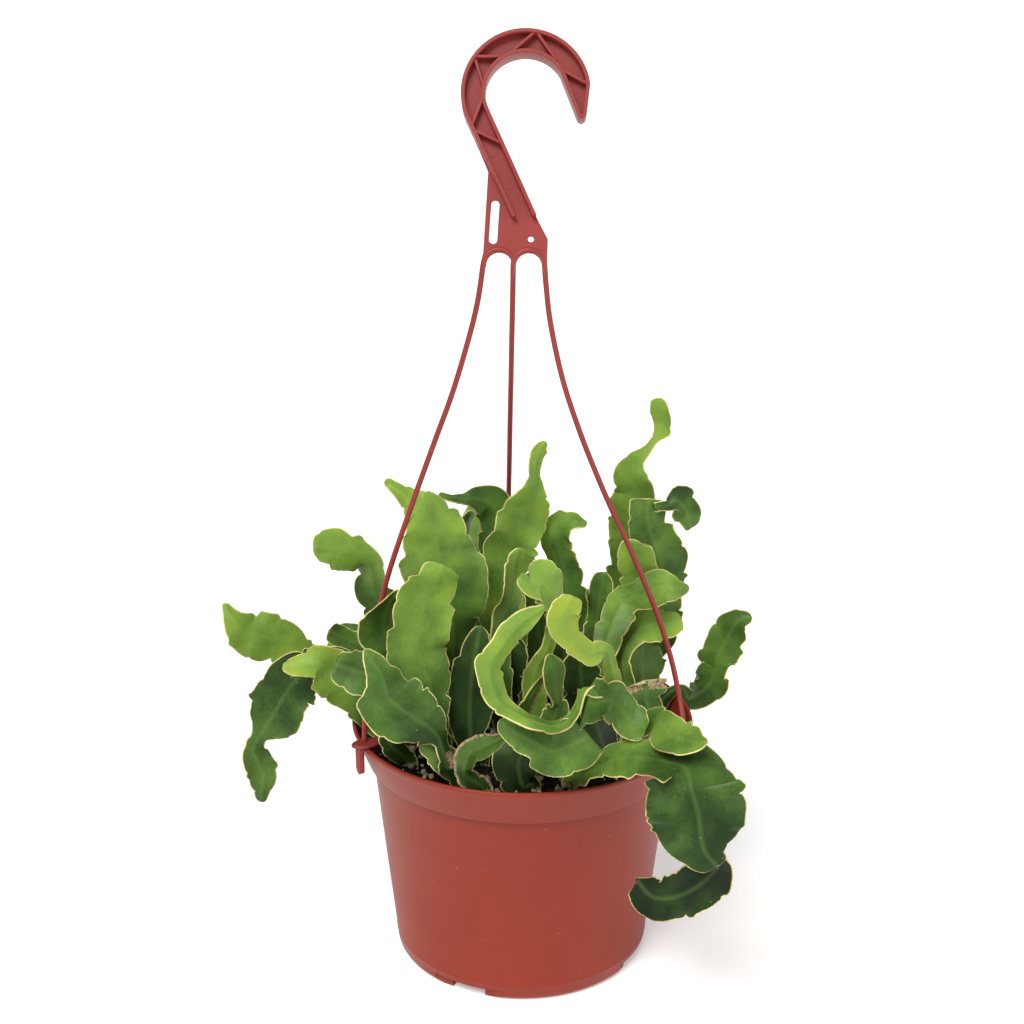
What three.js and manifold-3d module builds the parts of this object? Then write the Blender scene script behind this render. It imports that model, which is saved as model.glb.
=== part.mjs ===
// Curly locks cactus in a hanging pot, in millimetres, +Z up.
// The origin is on the pot's axis, in the plane of its foot, and -Y is the front.

import * as THREE from 'three';
import { mergeVertices } from 'three/addons/utils/BufferGeometryUtils.js';
import Module from 'manifold-3d';

const wasm = await Module();
wasm.setup();

// Pot
const POT_HEIGHT = 112.7;
const LIP_RADIUS = 77.5;
const BAND_FOOT_RADIUS = 71;
const BAND_HEIGHT = 17.5;
const WALL_TOP_RADIUS = 68.3;
const WALL_FOOT_RADIUS = 58.5;
const FOOT_RADIUS = 54.5;
const WALL_THICKNESS = 1.5;
const LIP_THICKNESS = 1.5;
const LIP_HEIGHT = 1.5;
const LIP_NECK = { inset: 0.8, drop: 3.2 };
const BAND_EDGE = 0.6;
const BAND_CHAMFER = 0.3;
const FLOOR_THICKNESS = 2;
const FLOOR_RADIUS = 53;
const FOOT_CHAMFER = 1.2;
const FOOT_CORNER_HEIGHT = 4;
const FOOT_INNER = { radius: 53.8, height: 7 };
const FOOT_THICK_HEIGHT = 10;
const POT_SIDES = 48;

// Drain notches at the pot's foot
const NOTCH_ANGLES = [65, 155, 245, 335];
const NOTCH_WIDTH = 33;
const NOTCH_HEIGHT = 5;
const NOTCH_FLOOR_RADIUS = 55.6;
const NOTCH_REACH = 10;
const DRAIN_WIDTH = 16;
const DRAIN_REACH = 7;
const CUT_MARGIN = 2;

// Soil
const SOIL_TOP = 105;
const SOIL_MOUND = 1;
const GAP = 0.3;
const ROOT_HOLE_RADIUS = 5.4;
const ROOT_HOLE_SIDES = 6;
const ROOT_DEPTH = 6;
const ROOT_COLLAR = 2.5;

// Hanger: a ribbed hook and plate that lean back, three wires and three rim clips
// In its own plane a place is [u, v], u to the right and v up.
const HANGER_ORIGIN = new THREE.Vector3(-5, 0, 322);
const HANGER_LEAN = 20;
const HOOK_DEPTH = 10;
const WEB_THICKNESS = 2.2;
const RIB_WIDTH = 1.7;
const HOOK_CENTRE = [5, 69];
const HOOK_OUTER_RADIUS = 27.3;
const HOOK_INNER_RADIUS = 17;
const HOOK_ARC_STEPS = 11;
const OUTER_ARC = { from: 8, to: 202 };
const INNER_ARC = { from: 31, to: 206 };
const HOOK_TIP = { centre: [28.6, 60.2], radius: 2, from: 200, to: 355, steps: 5 };
const SHANK_LEFT_FOOT = [-10.7, 36.4];
const SHANK_RIGHT_FOOT = [9.7, 17.1];
const PLATE_FOOT = -6;
const PLATE_LEFT = -13.1;
const PLATE_RIGHT = 14.2;
const PLATE_SHOULDER = [14.5, 7.8];
const ARCH_RADIUS = 5.4;
const ARCH_CENTRES = [[-5.9, -3.2], [6.6, -3.4]];
const ARCH_RIM = { from: 172, to: 8 };
const ARCH_STEPS = 8;
const SLOT = { low: [-8.5, 7.5], high: [-7.6, 22.5], width: 3.5, steps: 5 };
const PIN_HOLE = { centre: [7.4, 7.8], radius: 1.3, sides: 10 };
const OUTER_RIB_TIP = [[28.2, 59.3], [29.9, 60.2]];
const OUTER_RIB_FOOT = [0.3, 16.6];
const INNER_RIB_TIP = [28, 59.6];
const ZIGZAG_WIDTH = 1.3;
const ZIGZAG_DEPTH = 9;
const ZIGZAG_RIBS = [
  [[30.8, 73], [20.4, 78.6]],
  [[17.8, 82.6], [9.6, 95.2]],
  [[8.6, 95.2], [-2.2, 84.2]],
  [[-2.8, 84], [-16, 84]],
  [[-16, 83], [-12, 71]],
  [[-12, 67.5], [-17.8, 54.6]],
  [[-17.4, 53.4], [-5.6, 48]],
];
const WIRE_RADIUS = 1.2;
const WIRE_SIDES = 6;
const WIRE_STEPS = 16;
const CLIP_DISC = { across: 8, deep: 12, thickness: 1.6, inset: 1, sides: 12 };
const CLIP_LEG = { width: 5.2, thickness: 2, length: 14, clear: 0.4 };
const CLIP_TONGUE = { width: 6, thickness: 1.5, length: 5.5, clear: 1.5 };

// Each wire runs from the plate to its clip on the rim: [x, y, z]
const WIRES = [
  {
    clipAngle: 206,
    route: [
      [-17.6, 4, 320], [-20.2, 2, 301], [-25, 0, 283], [-31, -3, 263], [-37.8, -6, 245], [-46, -9, 221],
      [-56.6, -14, 193], [-61.2, -17, 176], [-66.5, -21, 152], [-69, -26, 132], [-69, -33, 114],
    ],
  },
  {
    clipAngle: 344,
    route: [
      [8.2, 4, 320], [8.9, 3, 309], [11, 3, 292], [16.6, 2, 268], [24.6, 1, 245], [32.8, 0, 225],
      [40, -1, 209], [45.2, -1, 199], [54, -2, 178], [61, -3, 160], [67, -5, 141], [70, -11, 126],
      [72, -20, 114],
    ],
  },
  {
    clipAngle: 95,
    route: [
      [-5, 5, 320], [-5, 9, 301], [-5, 14, 283], [-6, 22, 263], [-6, 31, 245], [-6, 41, 221],
      [-7, 55, 193], [-7, 60, 176], [-7, 66, 152], [-7, 71, 130], [-7, 74, 114],
    ],
  },
];

// Curly stems
const MARGIN_THICKNESS = 1.1;
const MIDRIB_THICKNESS = 2.6;
const LOBE_LENGTH = 22;
const ROWS_PER_LOBE = 4;
const NOTCH_CUT = 2.4;
const NOTCH_SHARE = 0.24;
const WAVE_LENGTH = 42;
const WAVE_SHARE = 0.13;
const CUP_SHARE = 0.1;
const LEAST_REACH = 0.8;
const FEWEST_ROWS = 6;
const ROOT_HALF_WIDTH = 3.2;
const ROOT_TOP_HALF_WIDTH = 3.8;

// How far the margin is cut back along one lobe: a sharp step, then a slow swell
const LOBE_CUT = [1, 0.35, 0, 0.1];

// A stem's stations are [x, y, z, half width, face x, face z], and its blade faces (face x, -1, face z).
// Stems with the same node grow together.
const STEMS = [
  {
    node: 'stem_far_left_upper', root: [-50, 15], stations: [
      [-60, 15, 122, 5, 0, 0.3], [-77.5, 16, 131.2, 4.9, 0, 0.2], [-88.6, 16, 133.4, 5, 0.1, 0.4],
      [-98.6, 15, 135.3, 4.9, 0.3, 0.3], [-106.7, 13.5, 142.1, 7.7, 0.3, 0.2],
      [-116, 11, 145.1, 11.5, 0.3, 0.2], [-124.4, 8.5, 148.5, 10, 0.5, 0.1],
      [-128.4, 6, 152.7, 7.8, 0.5, 0], [-130.9, 5, 156.7, 4.8, 0.4, 0],
      [-132.7, 4.5, 160.8, 2.4, 0.3, 0], [-134.4, 4, 164.8, 1.2, 0, -0.1],
    ],
  },
  {
    node: 'stem_far_left_hanging', root: [-54, -2], stations: [
      [-65, -6, 126, 7, 0, 0.3], [-80.4, -6, 140.6, 6.3, 0.3, 0.8], [-93.1, -7, 137.4, 9.3, -0.1, 0.6],
      [-100.3, -8, 134.3, 12.6, -0.2, 0.4], [-107, -9.5, 125.7, 12.3, -0.3, 0.3],
      [-111.4, -10.5, 118, 13.6, -0.2, 0.2], [-115.5, -10.5, 110.6, 9, -0.2, 0.1],
      [-119.2, -10, 105.1, 3.5, 0, 0], [-122, -10, 98.9, 5.3, 0.4, 0],
      [-120.2, -10, 92.3, 6.7, 0.5, 0.1], [-118.2, -10, 86, 6.7, 0.3, 0],
      [-119.2, -10, 78.7, 3.9, 0.3, 0], [-119.5, -10, 72.6, 1.6, 0, 0],
    ],
  },
  {
    node: 'stem_left_bright', root: [-58, -14], stations: [
      [-66, -13, 113, 5, 0, 0.3], [-70.3, -14, 118.8, 5.2, 0.4, 0.2],
      [-75.4, -14.5, 126.4, 7.9, 0.5, 0.2], [-79.9, -16, 134.3, 10, 0.5, 0.1],
      [-85.2, -17, 140.8, 10.8, 0.6, 0.2], [-89.7, -19, 145.7, 7.4, 0.5, 0.5],
      [-96.6, -20, 145.1, 5, 0, 0.7], [-102.9, -20.5, 144.3, 3, 0, 0.5],
      [-105.5, -20.5, 144.8, 1.4, 0.1, 0.4],
    ],
  },
  {
    node: 'stem_left_dark', root: [-42, 8], stations: [
      [-59, 9, 126, 7, 0, 0.3], [-69.2, 8, 141.6, 6.2, 0.7, 0.6], [-77.9, 7, 145.2, 5.3, 0.7, 1.1],
      [-83.6, 5.5, 148.2, 5.2, 0.8, 0.8], [-87.6, 4, 151.7, 4.2, 0.6, 0.3],
    ],
  },
  {
    node: 'stem_left_curled', root: [-44, 30], stations: [
      [-58, 28, 124, 7, 0, 0.3], [-62.2, 25, 147.8, 8.3, -0.3, -0.2],
      [-68.7, 23.5, 162, 10.1, -0.3, -0.2], [-69.2, 21.5, 170.6, 6.7, -0.4, -0.3],
      [-70.4, 18.5, 178.7, 6.9, 0, -0.3], [-75.6, 17, 183.1, 7.6, 0.4, 0],
      [-84, 14, 187.5, 9.5, 0.5, 0.3], [-91, 11, 189, 6.5, 0.5, 0.4], [-94.2, 9.5, 189.2, 3.1, 0.5, 0.4],
    ],
  },
  {
    node: 'stem_left_edged', root: [-32, -14], stations: [
      [-50, -26, 136, 8, 0, 0.3], [-55.3, -29, 155, 7.9, 0.7, 0.2],
      [-60.3, -28.5, 165.7, 11.2, 0.7, 0.2], [-58.5, -28, 174.3, 8.3, 0.7, -0.2],
      [-55.8, -28.5, 180.2, 3.8, 0.8, -0.5], [-53.4, -28.5, 183.6, 1.2, 0.6, -0.4],
    ],
  },
  {
    node: 'stem_front_left_tall', root: [-34, -38], stations: [
      [-38, -46, 133, 6, 0, 0.3], [-39.7, -48, 149.1, 9.9, 0.4, 0], [-44.1, -48, 161.7, 12.7, 0.5, 0.1],
      [-43.8, -47, 172.8, 13.1, 0.5, 0.1], [-41.3, -44.5, 183.4, 14.1, 0.5, 0.1],
      [-37.4, -42.5, 191.2, 11.8, 0.5, 0], [-34.9, -41.5, 196.8, 8.6, 0.4, 0],
      [-33.7, -41, 199.3, 5.2, 0.4, 0],
    ],
  },
  {
    node: 'stem_front_left_star', stations: [
      [-31, -62, 116, 4, 0, 0.3], [-34.2, -65, 129.6, 2.8, 0.6, -0.1], [-36.9, -67.5, 136, 7.4, 0.6, 0],
      [-42.7, -69.5, 141.7, 10.7, 0.4, 0.2], [-49.7, -70.5, 147.3, 13.6, 0.3, 0.3],
      [-55.5, -70, 152.7, 13, 0.4, 0.3], [-57.5, -69, 160.2, 7.8, 0.7, 0.3],
      [-60.4, -69, 166.5, 4.8, 0.7, 0.4], [-64.7, -69.5, 173.1, 1.2, 0.6, 0.3],
    ],
  },
  {
    node: 'stem_left_low_dark', root: [-50, -38], stations: [
      [-57, -44, 120, 5, 0, 0.3], [-52.8, -52, 137.1, 5.7, 2.2, -0.3],
      [-58.2, -55, 150.4, 7.8, 0.9, 0.4], [-65.1, -56, 156.2, 10, 0.4, 0.6],
      [-72.3, -55.5, 158.5, 8.4, 0.2, 0.9], [-78.6, -54.5, 160.7, 5.5, 0.1, 0.9],
    ],
  },
  {
    node: 'stem_centre_left_dark', root: [-18, -38], stations: [
      [-22, -42, 118, 6, 0, 0.3], [-23, -39, 133, 10, 0.3, 0.2], [-22, -36, 148, 9.5, 0.3, 0.2],
      [-20, -33, 160, 6, 0.2, 0.2], [-18, -31, 168, 2, 0, 0.3],
    ],
  },
  {
    node: 'stem_upper_left_big', root: [-24, -2], stations: [
      [-31, -3, 123, 8, 0, 0.3], [-31.2, -6, 147.3, 8.5, 0.5, -0.1], [-31.5, -6, 166.3, 14.7, 0.3, 0.1],
      [-33.1, -5, 177.7, 17.7, 0.2, 0.1], [-36.8, -4, 189, 18, 0.2, 0.3],
      [-38.4, -1.5, 195.6, 15, 0.2, 0.4], [-40.4, 1, 203.4, 13, 0.3, 0.5],
      [-44.5, 3.5, 209.2, 9.6, 0.3, 0.7], [-48, 4.5, 211.7, 7.2, 0.4, 0.9],
      [-52.5, 6, 215.1, 5.3, 0.6, 1.2], [-56.8, 7.5, 218.3, 3.1, 0.4, 1],
      [-61.2, 9, 221.3, 1.2, -0.1, 0.3],
    ],
  },
  {
    node: 'stem_upper_dark_leaning', root: [-6, 34], stations: [
      [-11, 36, 154, 8, 0, 0.3], [-12.5, 35, 176.8, 8.1, -0.4, -0.1],
      [-12.5, 33, 192.2, 8.1, -0.3, -0.1], [-14, 32, 202.2, 9, 0.3, 0],
      [-20.4, 31, 205.6, 5.9, 0.4, 0.5], [-27.4, 28.5, 206.1, 3, 0.6, 1.4],
      [-34.2, 26.5, 207.9, 2.6, 0.8, 2.1], [-38.5, 26.5, 209.3, 1.2, 0.2, 0.6],
    ],
  },
  {
    node: 'stem_centre_tall', root: [-2, 12], stations: [
      [-8, 12, 146, 10, 0, 0.3], [-9.4, 11.5, 168.3, 10.7, 0.2, 0], [-7, 11, 186.2, 12.1, 0.2, -0.1],
      [-2.8, 9.5, 195.5, 11.9, 0.2, -0.2], [0.5, 8.5, 206.4, 11.9, 0.3, -0.2],
      [3.1, 7, 213.4, 8.7, 0.3, -0.3], [4.4, 6, 219.3, 4.7, 0.5, -0.2], [4.5, 6, 224.3, 2.4, 0.4, 0],
      [4.9, 6, 230.7, 3.4, 0.7, -0.2], [6.6, 5, 236.2, 4, 0.5, -0.3], [9.2, 5, 240.5, 1.9, 0.5, -0.3],
    ],
  },
  {
    node: 'stem_centre_right_curled', root: [18, 18], stations: [
      [20, 16, 144, 8, 0, 0.3], [19.9, 16, 163.3, 10.1, -0.6, 0], [19.1, 16, 175.7, 10.5, -0.7, -0.1],
      [16.9, 16, 185.5, 9.3, -0.8, -0.3], [15.2, 14.5, 193.2, 8.1, -0.9, -0.2],
      [17.3, 13, 198.5, 8.1, -1.3, 0.6], [21.5, 11.5, 201.4, 6.3, -1.1, 2],
      [25.5, 10, 201.4, 3.7, -0.1, 3.8], [28.4, 9.5, 201.1, 1.2, -0.1, 0.6],
    ],
  },
  {
    node: 'stem_centre_narrow', root: [-8, -14], stations: [
      [-11, -19, 138, 6, 0, 0.3], [-9.2, -20, 157.8, 7.5, 1.3, -0.2], [-7.5, -20, 170.2, 8.6, 1.4, -0.2],
      [-6, -20, 178.3, 8.2, 1.6, -0.2], [-4.9, -20, 188.7, 7.2, 1.5, -0.2],
      [-3.1, -20, 196.6, 5.3, 1.1, -0.2], [-2.7, -20, 199.8, 1.5, 0.9, -0.1],
    ],
  },
  {
    node: 'stem_centre_small_bright', root: [8, -18], stations: [
      [5, -24, 140, 5, 0, 0.3], [10.9, -28, 157.9, 2.7, 0.2, -0.3], [13.6, -32, 175.9, 4.5, 0.8, -0.3],
      [12, -36, 184.7, 7.6, 0.9, -0.1], [7.9, -38, 190.6, 10.1, 0.6, 0.4],
      [2.2, -40, 190.4, 4.5, 0.6, 1], [-2.3, -40.5, 194.1, 2.1, 0.8, 0.8],
    ],
  },
  {
    node: 'stem_ring', root: [24, -46], stations: [
      [34, -60, 130, 4, 0, 0.3], [32, -70, 148, 3, 0, 0.3], [28, -82, 160, 2.2, -0.9, 0.3],
      [23.4, -88.5, 164.4, 2.8, -4, 4], [21.7, -88.5, 157.2, 3.3, -3.7, 1.3],
      [18, -86.5, 150, 3.6, -2.2, 2.1], [11.8, -87, 147.4, 4.1, -0.1, 4], [4.4, -87, 149.5, 4.1, 2.2, 4],
      [-2.8, -87, 152.8, 4.3, 2.3, 4], [-9.9, -85, 157.2, 5.5, 1.2, 1.4],
      [-13.3, -83, 164.3, 6.3, 1, 0.5], [-13.6, -81, 172.5, 7.4, 0.7, 0.1],
      [-9.6, -78.5, 177.9, 5.7, 0.7, -0.1], [-5.3, -76.5, 183.8, 5.6, 0.5, -0.1],
      [1.1, -74, 189, 4.6, 0.5, -0.2], [8, -71.5, 193.2, 1.3, 0.5, -0.2],
    ],
  },
  {
    node: 'stem_ring', stations: [
      [34, -63, 116, 4, 0, 0.3], [33, -66, 128, 7, 0.2, 0.3], [30, -70, 140, 7, 0.3, 0.3],
      [27, -73, 150, 4, 0.3, 0.3],
    ],
  },
  {
    node: 'stem_ring', stations: [
      [25.1, -85, 157.5, 10.5, 0.7, 0], [28.4, -82.5, 156, 10.3, 0.7, 0],
      [31.7, -80, 155.7, 8.7, 0.6, 0], [35.5, -78, 155.1, 8.9, 0.6, 0.1],
      [38.9, -76, 150.9, 7.7, 0.7, 0.3], [42.1, -75.5, 146.5, 7.3, 0.3, 0.4],
      [46.3, -77, 143.6, 6.6, -0.1, 0.3], [49.7, -78, 142.5, 4.2, -0.2, 0.3],
    ],
  },
  {
    node: 'stem_centre_boomerang', root: [20, -28], stations: [
      [38, -36, 135, 4, 0, 0.3], [36, -43, 157.8, 3.1, 0.9, -0.2], [33.3, -46.5, 163.6, 3.4, 0.9, 0.1],
      [28.4, -49, 163.5, 5.2, 0.6, 0.4], [23.3, -51, 167.1, 4.9, 0.7, 0.3],
      [19, -53, 172.8, 6, 0.8, 0.2], [16.6, -54, 179.8, 7.3, 0.6, 0], [17.3, -54, 185.6, 6.8, 0.5, -0.1],
      [19.3, -53.5, 190.9, 4.8, 0.3, 0],
    ],
  },
  {
    node: 'stem_centre_scarred', root: [4, -42], stations: [
      [14, -50, 137, 5, 0, 0.3], [14.4, -52, 142.9, 2.1, 0.5, -0.2], [13, -53, 150, 4.7, 0.8, 0],
      [12.5, -53.5, 157.2, 5.8, 0.7, 0.1], [10.8, -53.5, 162.4, 3, 0.6, 0.1],
      [10.5, -53.5, 164.9, 1.2, 0.6, 0.1],
    ],
  },
  {
    node: 'stem_right_broad_bright', root: [30, -6], stations: [
      [33, -9, 135, 8, 0, 0.3], [36.7, -7, 146.8, 5.7, -0.2, 0.4], [40.1, -1.5, 157.6, 7.3, -0.7, 0.9],
      [46, 4, 166.3, 8.6, -0.2, 1.5], [54.5, 9.5, 167.1, 8.3, 0.3, 1.7],
      [61.8, 13.5, 169.5, 8.2, 0.3, 1], [68.9, 16, 168.6, 5.6, 0.5, 1], [73.9, 18, 167.9, 2.9, 0.4, 1.3],
      [76, 18.5, 168.2, 1.2, 0.1, 1],
    ],
  },
  {
    node: 'stem_right_low_bright', root: [46, -12], stations: [
      [47, -6, 124, 5, 0, 0.3], [45.1, -3, 139.8, 3.9, -0.8, 0.3], [48.4, 1.5, 148.9, 5.3, -0.8, 1.2],
      [55.3, 6, 153.7, 8.4, 0.4, 1], [64, 11.5, 152.3, 7.2, 0.8, 1.1], [70.9, 16, 152, 4.9, 0.8, 1.2],
      [73.4, 18, 151.4, 1.5, 1.1, 1.3],
    ],
  },
  {
    node: 'stem_right_tall', root: [36, 40], stations: [
      [47, 41, 134, 7, 0, 0.3], [47.2, 42.5, 153.5, 8.7, -0.4, 0.1], [50.7, 42, 174.3, 10.1, -0.4, 0],
      [51.4, 41.5, 188.2, 11.6, -0.4, 0], [51.6, 40.5, 197.1, 12.9, -0.4, -0.1],
      [52.2, 39.5, 205.7, 10.8, -0.5, -0.1], [49.9, 39, 213.8, 9.2, -0.5, -0.1],
      [51.1, 38.5, 221.3, 4.8, -0.5, 0.1], [55.5, 37.5, 226.4, 2.5, -0.6, 0.4],
      [59.8, 37, 232.5, 1.7, -0.6, 0.3], [63.2, 36.5, 239.5, 5.5, -0.8, 0],
      [61.7, 35.5, 247, 4.6, -0.6, -0.2], [60.4, 35, 252.7, 2.6, -0.4, -0.2],
    ],
  },
  {
    node: 'stem_right_upper', root: [50, 30], stations: [
      [64, 32, 138, 8, 0, 0.3], [65, 31.5, 157.6, 10.5, 0.3, 0], [64.2, 31, 173.6, 12.9, 0.2, 0],
      [60.7, 30, 185, 11, 0.2, -0.1], [57.6, 28.5, 194, 9.1, 0.1, -0.1],
      [56.6, 27.5, 201.5, 8.9, 0.2, -0.1], [57.3, 27, 207.2, 8.8, 0.1, -0.1],
    ],
  },
  {
    node: 'stem_right_upper', stations: [
      [59.6, 26.5, 203.7, 1.8, 0.3, 0.3], [62.9, 27.5, 203.7, 2.1, 0.4, 0.3],
      [66.2, 29, 203.7, 2.4, 0.2, 0.4], [68.9, 29.5, 205.2, 4.3, -0.1, 0.6],
      [71.2, 29.5, 205.5, 7.4, 0, 0.6], [73.3, 28.5, 203.2, 6.7, 0.2, 0.5],
      [75.3, 27, 198.9, 6.3, 0.3, 0.5], [75.8, 25.5, 195.8, 4.4, 0.6, 0.2],
      [75.2, 25.5, 192.9, 2, 1.1, -0.2],
    ],
  },
  {
    node: 'stem_right_inner_bright', root: [38, 20], stations: [
      [50, 23, 140, 6, 0, 0.3], [53.5, 22.5, 158.7, 7.3, -0.1, 0], [53.6, 22.5, 171, 8.5, -0.1, 0],
      [51.7, 22, 180.4, 8.3, -0.1, -0.1], [50.3, 21, 187.1, 6.2, -0.1, -0.2],
      [50.7, 20.5, 189.9, 2.5, -0.2, -0.2],
    ],
  },
  {
    node: 'stem_right_grey', root: [52, 13], stations: [
      [55, 13, 115, 5, 0, 0.3], [55.5, 11, 123.9, 7.9, 0.4, -0.1], [54.9, 11.5, 132.7, 12.3, 0.5, 0.1],
      [55.4, 13, 140.2, 10.3, 0.6, 0.2], [55.8, 14, 143.1, 4, 0.7, 0.3],
    ],
  },
  {
    node: 'stem_right_corky', root: [44, -34], stations: [
      [52, -48, 135, 6, 0, 0.3], [51.2, -51, 143.3, 6.2, 0.5, -0.2],
      [51.5, -51.5, 148.1, 9.7, 0.4, -0.1], [51.2, -51.5, 151.8, 11, 0.2, 0],
    ],
  },
  {
    node: 'stem_far_right', root: [64, 20], stations: [
      [70, 22, 114, 2.5, 0, 0.3], [75.3, 24, 115.4, 1.3, 0.3, 0.2], [78.8, 24, 110, 5.3, 0.1, 0.4],
      [84.8, 24.2, 113.3, 7.1, -0.4, 0.5], [89, 23.8, 118.4, 8.4, -0.5, 0.1],
      [89.7, 23, 123.3, 7.6, -0.6, -0.1], [90.8, 22, 126.3, 5.6, -0.9, -0.2],
      [90.5, 21, 131.5, 8.9, -0.5, 0], [93.9, 20, 140.2, 8.8, -0.4, 0.1],
      [96.9, 19, 147.9, 7.6, -0.4, 0.1], [100.5, 18.2, 152.4, 4.5, -0.3, 0.2],
      [105.4, 17, 153.4, 1.6, -0.3, 0.3],
    ],
  },
  {
    node: 'stem_right_arch', root: [42, -44], stations: [
      [50, -54, 131, 6, 0, 1], [49.7, -60, 134.9, 6.2, -4, 2.7], [54.1, -70, 142.7, 6.1, -4, 4],
      [58.8, -83.5, 142.7, 8.4, -2, 3.2], [64.2, -89, 142.9, 8.4, -1.3, 3.3],
      [68.7, -93, 143.7, 4.7, -2.5, 4], [72.4, -95, 145.1, 1.2, -2.9, 4],
    ],
  },
  {
    node: 'stem_trailing', root: [20, -57], stations: [
      [25, -67, 116, 5, 0, 0.8], [28.4, -72, 121, 3.3, -2.1, 0.8], [35.6, -79, 128.7, 6.5, -1.8, 1.1],
      [44.2, -86, 133.9, 9.7, -2.6, 4], [54.4, -91, 135.1, 13.1, -0.3, 4],
      [64, -95.5, 134.1, 15.4, 0.6, 2.5], [66.2, -102.5, 127.6, 19.4, 0.1, 0.6],
      [69, -105, 117.5, 19.4, 0, 0.2], [70, -106, 109.4, 16.1, 0, 0.1], [72.1, -106, 102.3, 9.8, 0, 0],
      [77, -105.5, 96, 4.7, 0.1, 0],
    ],
  },
  {
    node: 'stem_front_folded', root: [-17, -63], stations: [
      [-24, -68, 116, 4, 0.2, 0.5], [-24.3, -71.5, 122.4, 4.5, 0.4, -0.4],
      [-22.1, -72, 128.3, 7, 0.6, -0.4], [-16.6, -70, 130.5, 6.7, 0.5, -0.5],
      [-11.3, -68.5, 132.8, 4.6, 0.5, -0.5], [-7.6, -67.5, 135.5, 1.3, 0.5, -0.3],
    ],
  },
  {
    node: 'stem_front_low_dark', root: [4, -60], stations: [
      [0, -61.5, 108.5, 7.4, -0.2, 0.1], [-2, -60, 116.2, 11.4, -0.2, 0.2],
      [-0.1, -58, 123.5, 9.5, -0.3, 0.5], [3.9, -56, 128.1, 6, -0.1, 0.6],
    ],
  },
  {
    node: 'stem_front_left_star', root: [-26, -58], stations: [
      [-31, -61, 118, 6, 0, 0.5], [-37, -62, 124, 5, 0, 0.5], [-43, -62, 127, 2, 0, 0.3],
    ],
  },
  {
    node: 'stem_inner_left', root: [-12, -2], stations: [
      [-10, -10, 129, 9, 0, 0.3], [-8, -12, 149, 10, -0.3, 0.3], [-5, -12, 164, 3, 0, 0.3],
    ],
  },
  {
    node: 'stem_inner_front', root: [8, -30], stations: [
      [-0.8, -39, 127, 4.4, 0.8, -0.4], [2.9, -41, 139.2, 4, 1.1, -0.6],
      [7.3, -42, 147.6, 2.8, 0.9, -0.6], [9.9, -41.5, 150.6, 1.2, 0.6, -0.4],
    ],
  },
  {
    node: 'stem_inner_right', root: [34, -22], stations: [
      [27, -28, 133, 8, 0, 0.3], [25, -28, 147, 9, 0.2, 0.3], [27, -26, 155, 3, 0, 0.3],
    ],
  },
  {
    node: 'stem_inner_back', root: [26, 8], stations: [
      [33, 14, 146, 5, 0, 0.3], [35, 13, 162, 5.5, -0.2, 0.3], [36, 13, 173, 4.5, 0, 0.3],
      [37, 13, 177, 2, 0, 0.3],
    ],
  },
  {
    node: 'stem_back_far_left', root: [-54, 32], stations: [
      [-64, 38, 122, 6, 0.6, 0.3], [-75, 44, 130, 8, 0.8, 0.8], [-84, 49, 129, 8, 0.8, 0.9],
      [-91, 53, 121, 6, -0.6, 0.6], [-94, 55, 112, 2, -0.6, 0.4],
    ],
  },
  {
    node: 'stem_back_left', root: [-36, 44], stations: [
      [-42, 50, 122, 7, 0.6, 0.2], [-46, 55, 140, 10, 0.8, 0.2], [-47, 58, 155, 9, 0.2, 0],
      [-44, 60, 167, 6, -0.4, 0], [-41, 61, 174, 2, -0.4, 0],
    ],
  },
  {
    node: 'stem_back_centre_left', root: [-20, 56], stations: [
      [-22, 62, 126, 8, 0, 0], [-26, 66, 148, 12, -0.5, -0.2], [-26, 70, 168, 13, -1, 0],
      [-22, 72, 184, 9, -1.5, 0.2], [-18, 72, 194, 2, -1, 0],
    ],
  },
  {
    node: 'stem_back_trailing', root: [14, 58], stations: [
      [14, 64, 122, 8, 0, -0.4], [18, 74, 136, 12, 0, -1], [22, 86, 140, 14, 0.1, -3],
      [24, 98, 130, 14, 0.2, 1.5], [26, 104, 112, 11, 0.2, 0.2], [22, 106, 96, 9, -0.2, -0.2],
      [16, 104, 86, 2, 0, 0],
    ],
  },
  {
    node: 'stem_back_right', root: [30, 54], stations: [
      [34, 58, 126, 7, -0.4, 0], [38, 60, 140, 9, -0.6, 0.2], [40, 62, 151, 7, -0.6, 0],
      [41, 63, 159, 2, -0.4, 0],
    ],
  },
  {
    node: 'stem_back_far_right', root: [54, 36], stations: [
      [59, 44, 122, 6, -0.5, 0.3], [65, 48, 132, 8, -0.6, 0.5], [70, 52, 137, 7, -0.6, 0.5],
      [74, 55, 139, 2, -0.4, 0.4],
    ],
  },
  {
    node: 'stem_back_inner_right', root: [9, 37], stations: [
      [9, 42, 128, 8, -0.3, 0.2], [6, 45, 146, 11, -0.3, 0.2], [8, 47, 160, 8, -0.3, 0],
      [12, 48, 170, 2, -0.4, 0],
    ],
  },
  {
    node: 'stem_back_inner_left', root: [-26, 28], stations: [
      [-28, 34, 128, 8, 0.3, 0.2], [-34, 38, 150, 11, 0.7, 0.2], [-34, 42, 172, 12, 1.4, 0],
      [-28, 44, 188, 7, 1.6, 0.2], [-24, 44, 196, 2, 1, 0],
    ],
  },
  {
    node: 'stem_trailing', stations: [
      [76.1, -104.5, 100.8, 3.5, -0.2, -0.6], [77.7, -100.5, 93.5, 6.3, -0.3, -0.4],
      [74.8, -99.5, 87.7, 10, -0.3, 0.1], [68.7, -99, 81.6, 9.6, -0.3, 0.2],
      [60.7, -97.5, 76.8, 8.8, -0.3, 0.3], [52.7, -96, 76.3, 8.7, -0.1, 0.2],
      [47.1, -95, 82.1, 4.9, -0.1, 0.2], [46.1, -94.5, 82.5, 2.1, -0.4, 0.4],
    ],
  },
  {
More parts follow.
